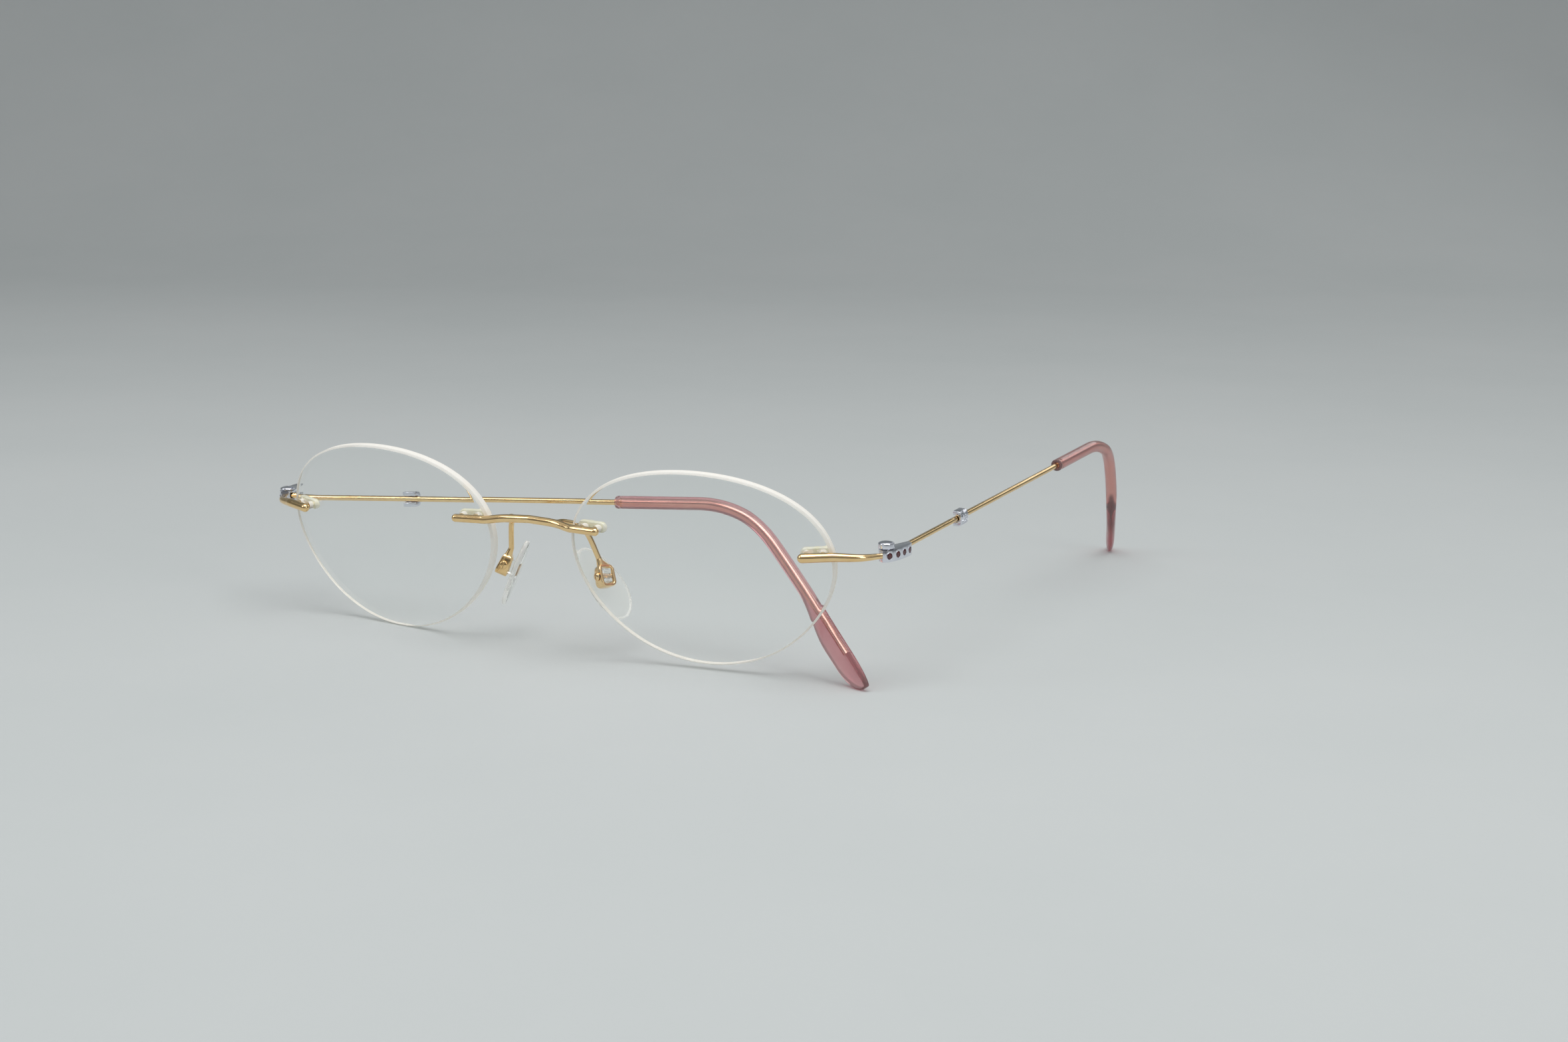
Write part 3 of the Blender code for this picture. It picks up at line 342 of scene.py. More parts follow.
paper = Finish("pale paper", Roughness=0.85)
paper_fibre = paper.mask(HAZE, 900.0)
paper.feed("Base Color", paper.blend(paper.mask(HAZE, 6.0), (0.56, 0.59, 0.585), (0.585, 0.61, 0.605)))
paper.bump(paper_fibre, 30 * MICRON, 0.3)
sheet_mesh.materials.append(paper.material)
print("first finish:", paper.material.name)

# %% [markdown]
# ## Gold
# The bridge, the end pieces, the temples and the pad arms are plated with yellow gold and polished. Two close golds
# share the colour. The drawing lines of the wire stay as a hair of bump and keep the highlights from being razor
# sharp. Inside the plastic tips the wire is a plain pale core with a duller skin.

# %% Polished gold
gold = Finish("polished gold", Metallic=1.0)
gold_haze = gold.mask(HAZE, 350.0)
gold_marks = gold.mask(SCRATCHES, 700.0)
gold_lines = gold.mask(DRAWING_LINES, 9.0)
gold.feed("Base Color", gold.blend(gold_haze, (0.95, 0.70, 0.38), (0.90, 0.62, 0.30)))
gold.feed("Roughness", gold.join(
    "ADD", gold.level(gold_haze, 0.05, 0.12), gold.level(gold_marks, 0.0, 0.08)))
gold.bump(gold.join(
    "ADD", gold.level(gold_lines, 0.0, 0.5), gold.level(gold_marks, 0.5, 0.0)), 4 * MICRON)
GOLD = gold.material

core_metal = Finish("core metal", Metallic=1.0, Base_Color=(0.97, 0.82, 0.66, 1.0))
core_metal.feed("Roughness", core_metal.level(core_metal.mask(HAZE, 350.0), 0.14, 0.26))
CORE_METAL = core_metal.material
print("finishes:", GOLD.name, CORE_METAL.name)

# %% [markdown]
# ## Silver
# The hinge housings, their screws and the beads are plated in cold bluish white, which reads as silver beside the
# gold. It is mirror bright, with a few more marks, because these edges take the knocks.

# %% Bright silver
silver = Finish("bright silver", Metallic=1.0)
silver_haze = silver.mask(HAZE, 500.0)
silver_marks = silver.mask(SCRATCHES, 900.0)
silver.feed("Base Color", silver.blend(silver_haze, (0.84, 0.85, 0.91), (0.71, 0.73, 0.80)))
silver.feed("Roughness", silver.join(
    "ADD", silver.level(silver_haze, 0.09, 0.20), silver.level(silver_marks, 0.0, 0.10)))
silver.bump(silver_marks, 4 * MICRON, 0.6)
SILVER = silver.material
print("finish:", SILVER.name)

# %% [markdown]
# ## Lenses
# Demonstration lenses are clear plastic. The two faces are polished, and the ground edge is frosted, so it glows
# cream white. One lens needs two materials: a glass with a trace of smears, and a rough, nearly opaque one whose
# fine bands run round the edge as the grinding wheel leaves them. The frosted one has an index near 1, because a
# higher one would mirror like metal where it is seen from inside the lens. Clear plastic would cast a dark shadow
# in a renderer that doesn't bend lamp light, so shadow rays pass through it.

# %% Clear lens and frosted edge
lens_clear = Finish("clear lens", Base_Color=(0.975, 0.985, 0.98, 1.0), Transmission_Weight=1.0, IOR=1.35)
lens_smears = lens_clear.mask(HAZE, 110.0)
lens_marks = lens_clear.mask(SCRATCHES, 160.0)
lens_clear.feed("Roughness", lens_clear.join(
    "ADD", lens_clear.level(lens_smears, 0.0, 0.02), lens_clear.level(lens_marks, 0.0, 0.015)))
lens_clear.bump(lens_marks, 2 * MICRON, 0.2)
lens_clear.pass_light(0.93)

lens_frost = Finish("frosted lens edge", IOR=1.02, Transmission_Weight=0.15)
edge_place = lens_frost.nodes.new("ShaderNodeMapping")
edge_place.inputs["Scale"].default_value = (0.06, 1.0, 0.06)
edge_bands = lens_frost.nodes.new("ShaderNodeTexNoise")
edge_bands.inputs["Scale"].default_value = 6000.0
edge_bands.inputs["Detail"].default_value = 3.0
lens_frost.links.new(lens_frost.object_place, edge_place.inputs["Vector"])
lens_frost.links.new(edge_place.outputs["Vector"], edge_bands.inputs["Vector"])
edge_grain = lens_frost.mask(HAZE, 2500.0)
lens_frost.feed("Base Color", lens_frost.blend(edge_grain, (0.98, 0.94, 0.87), (0.99, 0.97, 0.91)))
lens_frost.feed("Roughness", lens_frost.level(edge_bands.outputs["Fac"], 0.42, 0.68))
lens_frost.bump(lens_frost.join("ADD", edge_bands.outputs["Fac"], edge_grain), 10 * MICRON, 0.6)
lens_frost.pass_light(0.4)
LENS_FINISHES = [lens_clear.material, lens_frost.material]
print("finishes:", [item.name for item in LENS_FINISHES])

# %% [markdown]
# ## Bushings and nose pads
# The bushings are milky plastic with a yellow cast and faint flow marks from the mould. The nose pads are soft
# clear silicone, a little duller, because skin and cleaning turn silicone slightly cloudy. Their rims, where the
# mould parts, are whiter than their faces.

# %% Milky and clear plastics
bushing_plastic = Finish("bushing plastic", Transmission_Weight=0.15, IOR=1.45)
bushing_flow = bushing_plastic.mask(HAZE, 900.0)
bushing_plastic.feed("Base Color", bushing_plastic.blend(bushing_flow, (1.0, 0.99, 0.90), (1.0, 0.97, 0.74)))
bushing_plastic.feed("Roughness", bushing_plastic.level(bushing_flow, 0.12, 0.24))
bushing_plastic.bump(bushing_flow, 6 * MICRON, 0.3)
bushing_plastic.pass_light(0.7)

silicone = Finish("clear silicone", Transmission_Weight=0.93, IOR=1.24)
silicone_cloud = silicone.mask(HAZE, 300.0)
silicone_dust = silicone.mask(HAZE, 4000.0)
silicone.feed("Base Color", silicone.blend(silicone_cloud, (1.0, 1.0, 0.985), (0.98, 0.98, 0.95)))
silicone.feed("Roughness", silicone.join(
    "ADD", silicone.level(silicone_cloud, 0.02, 0.06), silicone.level(silicone_dust, 0.0, 0.02)))
silicone.bump(silicone_dust, 3 * MICRON, 0.3)
silicone.pass_light(0.85)

silicone_rim = Finish("cloudy silicone rim", Transmission_Weight=0.45, IOR=1.05)
rim_cloud = silicone_rim.mask(HAZE, 900.0)
silicone_rim.feed("Base Color", silicone_rim.blend(rim_cloud, (1.0, 1.0, 0.985), (0.97, 0.97, 0.93)))
silicone_rim.feed("Roughness", silicone_rim.level(rim_cloud, 0.15, 0.30))
silicone_rim.pass_light(0.8)
PAD_FINISHES = [silicone.material, silicone_rim.material]
print("finishes:", bushing_plastic.material.name, [item.name for item in PAD_FINISHES])

# %% [markdown]
# ## Stones
# Four dark red stones sit in each hinge housing. A garnet is nearly black until light enters it, so its base is a
# deep red with a lighter red in veils, and it bends light more than glass does.

# %% Garnet
garnet = Finish("garnet", Transmission_Weight=0.25, IOR=1.76)
garnet_veil = garnet.mask(HAZE, 2600.0)
garnet.feed("Base Color", garnet.blend(garnet_veil, (0.05, 0.003, 0.007), (0.16, 0.010, 0.016)))
garnet.feed("Roughness", garnet.level(garnet_veil, 0.02, 0.07))
garnet.bump(garnet_veil, 4 * MICRON, 0.3)
GARNET = garnet.material
print("finish:", GARNET.name)

# %% [markdown]
# ## Temple tips
# The tips are moulded acetate in a smoky mauve, clear enough that the gold wire inside shows as a warm streak. The
# colour drifts in long soft swirls from the moulding. Transmission lets the eye see in, while a base share of
# plain colour keeps the plastic from looking like glass. The plastic also absorbs light on its way, so the flat
# paddle is pale from the side and deep red along its edge.

# %% Mauve acetate
acetate = Finish("mauve acetate", Transmission_Weight=0.86, IOR=1.47)
acetate_swirl = acetate.mask(HAZE, 70.0)
acetate_cloud = acetate.mask(HAZE, 500.0)
acetate_tone = acetate.blend(acetate_swirl, (0.95, 0.72, 0.71), (0.99, 0.82, 0.76))
acetate.feed("Base Color", acetate.blend(
    acetate.level(acetate_cloud, 0.0, 0.4), acetate_tone, (0.88, 0.62, 0.64)))
acetate.feed("Roughness", acetate.join(
    "ADD", acetate.level(acetate_cloud, 0.02, 0.06), acetate.level(acetate.mask(SCRATCHES, 260.0), 0.0, 0.05)))
acetate.bump(acetate_cloud, 8 * MICRON, 0.4)
acetate.pass_light(0.45)
acetate.absorb((0.82, 0.42, 0.49), 640.0)
ACETATE = acetate.material
print("finish:", ACETATE.name)

# %% [markdown]
# ## Mesh helpers
# A closed shell can be made by stepping from one ring of points to the next. Lathed parts, the lens, the tips and
# the nose pads all work that way, so one function that joins two rings serves them all. A ring may shrink to a
# single point.

# %% Rings, lathed shells and flat prisms
def join_rings(bm, ring, following):
    """Faces between two rings of corners; either may be a single point."""
    count = max(len(ring), len(following))
    for i in range(count):
        j = (i + 1) % count
        corners = []
        for vert in (ring[i % len(ring)], ring[j % len(ring)],
                     following[j % len(following)], following[i % len(following)]):
            if vert not in corners:
                corners.append(vert)
        bm.faces.new(corners)


def to_mesh(bm, name, place=None):
    """Keep a bmesh as a mesh, moved by a matrix."""
    if place is not None:
        bmesh.ops.transform(bm, matrix=place, verts=bm.verts)
    bmesh.ops.recalc_face_normals(bm, faces=bm.faces)
    mesh = bpy.data.meshes.new(name)
    bm.to_mesh(mesh)
    bm.free()
    return mesh


def shell(name, rings, place=None):
    """A closed shell through rings of places."""
    bm = bmesh.new()
    corners = [[bm.verts.new(point) for point in ring] for ring in rings]
    for ring, following in zip(corners, corners[1:]):
        join_rings(bm, ring, following)
    for end in (corners[0], corners[-1]):
        if len(end) > 2:
            bm.faces.new(end)
    return to_mesh(bm, name, place)


def full_turn(steps, shift=0.0):
    """The angles of a full turn, in even steps."""
    return [2 * math.pi * (i + shift) / steps for i in range(steps)]


def lathe(name, line, steps, place=None):
    """Turn (radius, height) points about Z; a radius of zero closes an end."""
    rings = []
    for radius, height in line:
        turns = full_turn(steps) if radius > 0.0 else [0.0]
        rings.append([Vector((radius * math.cos(a), radius * math.sin(a), height)) for a in turns])
    return shell(name, rings, place)


def closed_ring(name, line, steps):
    """Turn a closed (radius, height) loop about Z, like a washer."""
    bm = bmesh.new()
    rings = [[bm.verts.new((r * math.cos(a), r * math.sin(a), h)) for r, h in line] for a in full_turn(steps)]
    for ring, following in zip(rings, rings[1:] + rings[:1]):
        join_rings(bm, ring, following)
    return to_mesh(bm, name)


def rod(name, radius, start, end, steps=28):
    """A straight rod between two places."""
    start, end = Vector(start), Vector(end)
    run = end - start
    line = [(0.0, 0.0), (radius, 0.0), (radius, run.length), (0.0, run.length)]
    place = Matrix.Translation(start) @ run.to_track_quat("Z", "Y").to_matrix().to_4x4()
    return lathe(name, line, steps, place)


def prism(name, outline, depth, place=None):
    """A flat outline given an even thickness about Z = 0."""
    rings = [[Vector((x, y, height)) for x, y in outline] for height in (-depth / 2, depth / 2)]
    return shell(name, rings, place)


def arc(centre, radius, start, end, count):
    """Points on an arc between two angles in degrees."""
    angles = [math.radians(start + (end - start) * i / (count - 1)) for i in range(count)]
    return [(centre[0] + radius * math.cos(a), centre[1] + radius * math.sin(a)) for a in angles]


def flowing(points, steps):
    """A Catmull-Rom curve through the points."""
    padded = [points[0] * 2 - points[1], *points, points[-1] * 2 - points[-2]]
    curve = []
    for a, b, c, d in zip(padded, padded[1:], padded[2:], padded[3:]):
        for i in range(steps):
            t = i / steps
            curve.append(0.5 * (2 * b + (c - a) * t + (2 * a - 5 * b + 4 * c - d) * t ** 2
                                + (3 * b - a - 3 * c + d) * t ** 3))
    return curve + [points[-1]]


print("a lathed test disc has", len(lathe("test", [(0, 0), (1, 0), (1, 1), (0, 1)], 12).polygons), "faces")

# %% [markdown]
# ## Modifiers on a throwaway object
# Cutting and bevelling are Blender modifiers, and they work on objects. So a mesh borrows an object, takes the
# modifiers, and is read back from the evaluated scene. Nothing live is left on the finished piece.

# %% Cut, join, soften and grow meshes
def lend_object(mesh):
    """A short-lived object for a mesh."""
    obj = bpy.data.objects.new("helper", mesh)
    bpy.context.scene.collection.objects.link(obj)
    return obj


def read_back(obj, *helpers):
    """The evaluated mesh of a helper object, which is then dropped."""
    depsgraph = bpy.context.evaluated_depsgraph_get()
    mesh = bpy.data.meshes.new_from_object(obj.evaluated_get(depsgraph))
    for spent in (obj, *helpers):
        bpy.data.objects.remove(spent)
    return mesh


def carve(mesh, tools, operation="DIFFERENCE"):
    """Cut a shell by others, or join them, with exact booleans."""
    body = lend_object(mesh)
    helpers = [lend_object(tool) for tool in tools]
    for helper in helpers:
        boolean = body.modifiers.new("Carve", "BOOLEAN")
        boolean.operation = operation
        boolean.solver = "EXACT"
        boolean.object = helper
    return read_back(body, *helpers)


def soften(mesh, width, segments=3, angle=35.0):
    """Round a shell's sharp edges."""
    body = lend_object(mesh)
    bevel = body.modifiers.new("Soften", "BEVEL")
    bevel.width = width
    bevel.segments = segments
    bevel.limit_method = "ANGLE"
    bevel.angle_limit = math.radians(angle)
    return read_back(body)


def grow(mesh, tree, **inputs):
    """Run a node tree on a mesh, with its named inputs set."""
    body = lend_object(mesh)
    modifier = body.modifiers.new("Grow", "NODES")
    modifier.node_group = tree
    for item in tree.interface.items_tree:
        if item.in_out == "INPUT" and item.name in inputs:
            modifier[item.identifier] = inputs[item.name]
    return read_back(body)


print("helpers ready")

# %% [markdown]
# ## Handing a piece to the frame
# A finished piece rides on one body of the mechanism and replaces a CAD solid. Its faces must point outwards, and a
# mirrored mesh has them pointing in, so they are worked out afresh after the mesh is put in place.

# %% Hand over a piece, or a pair of them
def hand_over(name, meshes, place, body, nodes, finishes):
    """Join meshes in place as one piece, hang it on its body and hide the CAD solids it stands for."""
    bm = bmesh.new()
    for mesh in meshes:
        bm.from_mesh(mesh)
    bmesh.ops.transform(bm, matrix=place, verts=bm.verts)
    bmesh.ops.remove_doubles(bm, verts=bm.verts, dist=0.1 * MICRON)
    for face in bm.faces:
        face.material_index = min(face.material_index, len(finishes) - 1)
    joined = to_mesh(bm, name)
    for finish in finishes:
        joined.materials.append(finish)
    joined.shade_smooth()
    joined.set_sharp_from_angle(angle=math.radians(38.0))
    piece = bpy.data.objects.new(name, joined)
    bpy.context.scene.collection.objects.link(piece)
    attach(piece, body)
    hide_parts(*nodes)
    print(f"{name}: {len(joined.polygons)} faces")
    return piece


def hand_over_pair(name, meshes, places, body, nodes, finishes):
    """The same piece for both sides; {} in a name becomes the side."""
    return [hand_over(name.format(side), meshes, places[side], body.format(side),
                      [node.format(side) for node in nodes], finishes)
            for side in ("left", "right")]


# %% [markdown]
# ## A node tree for drawn wire
# Bridge, end pieces, temples and pad arms are all wire, bent and tapered. Geometry Nodes can make them all with one
# tree: a row of points becomes a curve, a circle is swept along it, and each point's own radius scales the circle.
# Two attributes are stored on the way, the length along the wire and the place around it, for the drawing lines.

# %% Drawn wire tree
def link_nodes(tree, *pairs):
    """Connect outputs to inputs."""
    for source, target in pairs:
        tree.links.new(source, target)


def store(tree, source, name, kind, value):
    """A node that keeps a field as a named attribute."""
    node = tree.nodes.new("GeometryNodeStoreNamedAttribute")
    node.data_type = kind
    node.inputs["Name"].default_value = name
    link_nodes(tree, (source, node.inputs["Geometry"]), (value, node.inputs["Value"]))
    return node.outputs["Geometry"]


def make_wire_tree():
    """Sweep a circle along a path, scaled by the path's radius."""
    tree = bpy.data.node_groups.new("Drawn wire", "GeometryNodeTree")
    face = tree.interface
    face.new_socket("Path", in_out="INPUT", socket_type="NodeSocketGeometry")
    face.new_socket("Sides", in_out="INPUT", socket_type="NodeSocketInt").default_value = 40
    face.new_socket("Allowance", in_out="INPUT", socket_type="NodeSocketFloat").default_value = 0.0
    face.new_socket("Metal", in_out="INPUT", socket_type="NodeSocketMaterial")
    face.new_socket("Wire", in_out="OUTPUT", socket_type="NodeSocketGeometry")
    start = tree.nodes.new("NodeGroupInput")
    end = tree.nodes.new("NodeGroupOutput")
    to_curve = tree.nodes.new("GeometryNodeMeshToCurve")
    radius = tree.nodes.new("GeometryNodeInputNamedAttribute")
    radius.data_type = "FLOAT"
    radius.inputs["Name"].default_value = "radius"
    grown = tree.nodes.new("ShaderNodeMath")
    grown.operation = "ADD"
    circle = tree.nodes.new("GeometryNodeCurvePrimitiveCircle")
    circle.inputs["Radius"].default_value = 1.0
    length = tree.nodes.new("GeometryNodeSplineParameter")
    position = tree.nodes.new("GeometryNodeInputPosition")
    sweep = tree.nodes.new("GeometryNodeCurveToMesh")
    sweep.inputs["Fill Caps"].default_value = True
    smooth = tree.nodes.new("GeometryNodeSetShadeSmooth")
    real = tree.nodes.new("GeometryNodeRealizeInstances")
    metal = tree.nodes.new("GeometryNodeSetMaterial")
    link_nodes(
        tree,
        (start.outputs["Path"], to_curve.inputs["Mesh"]),
        (start.outputs["Sides"], circle.inputs["Resolution"]),
        (radius.outputs["Attribute"], grown.inputs[0]),
        (start.outputs["Allowance"], grown.inputs[1]),
        (grown.outputs["Value"], sweep.inputs["Scale"]))
    path = store(tree, to_curve.outputs["Curve"], "along", "FLOAT", length.outputs["Length"])
    ring = store(tree, circle.outputs["Curve"], "around", "FLOAT_VECTOR", position.outputs["Position"])
    link_nodes(
        tree,
        (path, sweep.inputs["Curve"]),
        (ring, sweep.inputs["Profile Curve"]),
        (sweep.outputs["Mesh"], smooth.inputs["Geometry"]),
        (smooth.outputs["Geometry"], real.inputs["Geometry"]),
        (real.outputs["Geometry"], metal.inputs["Geometry"]),
        (start.outputs["Metal"], metal.inputs["Material"]),
        (metal.outputs["Geometry"], end.inputs["Wire"]))
    return tree


WIRE_TREE = make_wire_tree()


def draw_wire(path, sides=40, metal=GOLD, allowance=0.0):
    """A wire through (place, radius) pairs."""
    mesh = bpy.data.meshes.new("path")
    mesh.from_pydata([place for place, size in path], [(i, i + 1) for i in range(len(path) - 1)], [])
    mesh.attributes.new("radius", "FLOAT", "POINT").data.foreach_set("value", [size for place, size in path])
    return grow(mesh, WIRE_TREE, Sides=sides, Metal=metal, Allowance=allowance)


def round_off(path):
    """Trade the last stretch of a wire for a quarter circle of closer points."""
    end, radius = path[-1]
    kept = [(place, size) for place, size in path if (place - end).length > radius]
    back = (kept[-1][0] - end).normalized()
    cap = []
    for degrees in range(0, 91, 9):
        a = math.radians(degrees)
        cap.append((end + back * radius * (1 - math.sin(a)), radius * max(math.cos(a), 0.03)))
    return kept + cap


print("tree:", WIRE_TREE.name, [item.name for item in WIRE_TREE.interface.items_tree])

# %% [markdown]
# ## A node tree for things that repeat
# Stones, their rims, pins and the grain on the beads are one small shape set down many times. The second tree takes
# a cloud of seats, each with the direction that it faces, and puts the same shape on every one. It can also turn
# and size each copy a little at random, from a fixed seed, so the picture is the same every time.

# %% Tree that sets a shape on seats
def make_seat_tree():
    """Instance one object on every seat, facing along its attribute."""
    tree = bpy.data.node_groups.new("Set on seats", "GeometryNodeTree")
    face = tree.interface
    face.new_socket("Seats", in_out="INPUT", socket_type="NodeSocketGeometry")
    face.new_socket("Shape", in_out="INPUT", socket_type="NodeSocketObject")
    face.new_socket("Smallest", in_out="INPUT", socket_type="NodeSocketFloat").default_value = 1.0
    face.new_socket("Random turn", in_out="INPUT", socket_type="NodeSocketFloat").default_value = 0.0
    face.new_socket("Seed", in_out="INPUT", socket_type="NodeSocketInt").default_value = 7
    face.new_socket("Finish", in_out="INPUT", socket_type="NodeSocketMaterial")
    face.new_socket("Set", in_out="OUTPUT", socket_type="NodeSocketGeometry")
    start = tree.nodes.new("NodeGroupInput")
    end = tree.nodes.new("NodeGroupOutput")
    shape = tree.nodes.new("GeometryNodeObjectInfo")
    facing = tree.nodes.new("GeometryNodeInputNamedAttribute")
    facing.data_type = "FLOAT_VECTOR"
    facing.inputs["Name"].default_value = "facing"
    align = tree.nodes.new("FunctionNodeAlignRotationToVector")
    align.axis = "Z"
    angle = tree.nodes.new("FunctionNodeRandomValue")
    about = tree.nodes.new("FunctionNodeAxisAngleToRotation")
    about.inputs["Axis"].default_value = (0.0, 0.0, 1.0)
    spin = tree.nodes.new("FunctionNodeRotateRotation")
    spin.rotation_space = "LOCAL"
    size = tree.nodes.new("FunctionNodeRandomValue")
    setter = tree.nodes.new("GeometryNodeInstanceOnPoints")
    real = tree.nodes.new("GeometryNodeRealizeInstances")
    finish = tree.nodes.new("GeometryNodeSetMaterial")
    link_nodes(
        tree,
        (start.outputs["Shape"], shape.inputs["Object"]),
        (facing.outputs["Attribute"], align.inputs["Vector"]),
        (start.outputs["Random turn"], angle.inputs[3]),
        (start.outputs["Seed"], angle.inputs["Seed"]),
        (angle.outputs[1], about.inputs["Angle"]),
        (align.outputs["Rotation"], spin.inputs["Rotation"]),
        (about.outputs["Rotation"], spin.inputs["Rotate By"]),
        (start.outputs["Smallest"], size.inputs[2]),
        (start.outputs["Seed"], size.inputs["Seed"]),
        (start.outputs["Seats"], setter.inputs["Points"]),
        (shape.outputs["Geometry"], setter.inputs["Instance"]),
        (spin.outputs["Rotation"], setter.inputs["Rotation"]),
        (size.outputs[1], setter.inputs["Scale"]),
        (setter.outputs["Instances"], real.inputs["Geometry"]),
        (real.outputs["Geometry"], finish.inputs["Geometry"]),
        (start.outputs["Finish"], finish.inputs["Material"]),
        (finish.outputs["Geometry"], end.inputs["Set"]))
    return tree


SEAT_TREE = make_seat_tree()


def set_on_seats(shape, seats, finish, **inputs):
    """Copies of a shape on (place, facing) seats."""
    mesh = bpy.data.meshes.new("seats")
    mesh.from_pydata([place for place, facing in seats], [], [])
    directions = [c for place, facing in seats for c in facing]
    mesh.attributes.new("facing", "FLOAT_VECTOR", "POINT").data.foreach_set("vector", directions)
    helper = lend_object(shape)
    made = grow(mesh, SEAT_TREE, Shape=helper, Finish=finish, **inputs)
    bpy.data.objects.remove(helper)
    return made


print("tree:", SEAT_TREE.name)

# %% [markdown]
# ## Lenses
# A lens is a slice of a thick spherical shell, cut to an oval. The oval here is an ellipse that leans a little and
# is slightly fuller at the top outside. Rings of points, each a smaller copy of the outline and laid on the sphere,
# give the front, the narrow safety bevels, the ground edge and the back. Four holes take the plastic plugs, and
# their drilled walls are as rough as the ground edge.

# %% Lens surface and mounts
LENS_WIDTH, LENS_HEIGHT, LENS_THICKNESS = 48.0 * MM, 35.2 * MM, 1.6 * MM
LENS_RADIUS = 87.6 * MM
LENS_SLANT, LENS_EGG = -0.028, 0.031
LENS_CENTRE = Vector((32.5, 0.0, 17.4521)) * MM
LENS_TURN = Matrix.Rotation(math.radians(11.0), 4, "X") @ Matrix.Rotation(math.radians(6.6), 4, "Z")
LENS_PLACE = Matrix.Translation(LENS_CENTRE) @ LENS_TURN
LENS_BEVEL, LENS_STEPS = 0.28 * MM, 192
PIN_PITCH, PIN_RADIUS = 2.8 * MM, 0.30 * MM
RUN_GAP, SEAT_GAP = 0.10 * MM, 0.2 * MM
PLUG_RADIUS = PIN_RADIUS + 0.28 * MM
HOLE_RADIUS = PLUG_RADIUS + RUN_GAP
NASAL = (-19.9768 * MM, 5.8 * MM)
TEMPORAL = (20.9478 * MM, 2.9 * MM)


def sag(u, v):
    """How far the lens curves back at a place on it."""
    return LENS_RADIUS - math.sqrt(LENS_RADIUS ** 2 - u ** 2 - v ** 2)


def outline_point(angle):
    """A point of the lens's edge in its own plane."""
    swell = 1 + LENS_EGG * math.sin(3 * angle)
    u = LENS_WIDTH / 2 * math.cos(angle)
    return u * swell, (LENS_HEIGHT / 2 * math.sin(angle) + LENS_SLANT * u) * swell


def mount_frame(u, v):
    """Axes on the lens's front: X along the bar, Y straight in, Z up."""
    inward = Vector((-u, LENS_RADIUS - sag(u, v), -v)).normalized()
    along = (Vector((1.0, 0.0, 0.0)) - inward * inward.x).normalized()
    turned = Matrix((along, inward, along.cross(inward))).transposed().to_4x4()
    return LENS_PLACE @ Matrix.Translation((u, sag(u, v), v)) @ turned


NASAL_MOUNT = mount_frame(*NASAL)
TEMPORAL_MOUNT = mount_frame(*TEMPORAL)
PIN_SPOTS = (-PIN_PITCH / 2, PIN_PITCH / 2)
print("mounts in mm:", [[round(c / MM, 2) for c in m.translation] for m in (NASAL_MOUNT, TEMPORAL_MOUNT)])


# %% Two lenses
def lens_mesh():
    """Both curved faces, the safety bevels and the ground edge."""
    outline = [outline_point(angle) for angle in full_turn(LENS_STEPS)]
    spread = [0.05, 0.14, 0.24, 0.34, 0.44, 0.54, 0.64, 0.73, 0.81, 0.88, 0.94, 0.965, 0.982]
    rings = [(share, 0.0) for share in spread] + [(1.0, LENS_BEVEL), (1.0, LENS_THICKNESS - LENS_BEVEL)]
    rings += [(share, LENS_THICKNESS) for share in reversed(spread)]
    bm = bmesh.new()
    middle = [bm.verts.new((0.0, depth, 0.0)) for depth in (0.0, LENS_THICKNESS)]
    corners = [[middle[0]]]
    for share, depth in rings:
        corners.append([bm.verts.new((share * u, sag(share * u, share * v) + depth, share * v))
                        for u, v in outline])
    corners.append([middle[1]])
    ground = range(len(spread), len(spread) + 3)
    for index, (ring, following) in enumerate(zip(corners, corners[1:])):
        before = len(bm.faces)
        join_rings(bm, ring, following)
        bm.faces.ensure_lookup_table()
        for face in bm.faces[before:]:
            face.material_index = 1 if index in ground else 0
    return to_mesh(bm, "lens", LENS_PLACE)


def across(name, radius, mount, start, end):
    """A rod on each of a mount's pin spots, between two depths."""
    return [rod(name, radius, mount @ Vector((x, start, 0.0)), mount @ Vector((x, end, 0.0))) for x in PIN_SPOTS]


hole_tools = [tool for mount in (NASAL_MOUNT, TEMPORAL_MOUNT)
              for tool in across("hole", HOLE_RADIUS, mount, -2 * MM, 4 * MM)]
lens = lens_mesh()
for finish in LENS_FINISHES:
    lens.materials.append(finish)
lens = carve(lens, hole_tools)
for mount in (NASAL_MOUNT, TEMPORAL_MOUNT):
    for polygon in lens.polygons:
        spot = mount.inverted() @ polygon.center
        if min(math.hypot(spot.x - x, spot.z) for x in PIN_SPOTS) < HOLE_RADIUS * 1.02:
            polygon.material_index = 1
hand_over_pair("clear_lens_{}", [lens], FRONT, "front", ["lens_{}"], LENS_FINISHES)

# %% [markdown]
# ## Bushings
# Behind each mount lies a milky double bushing: an oval plate with two hollow plugs that fill the lens's holes and
# grip the pins. The plate is a flat prism with rounded edges, and the plugs are joined and bored with booleans,
# because a piece that lets light in shows every inner wall that would be left over.

# %% Four bushings
BUSHING_LENGTH, BUSHING_HEIGHT, BUSHING_DEPTH = 5.8 * MM, 1.85 * MM, 0.9 * MM
BUSHING_SHIFT = 0.35 * MM
BUSHING_FRONT = LENS_THICKNESS + SEAT_GAP
BUSHING_BACK = BUSHING_FRONT + BUSHING_DEPTH


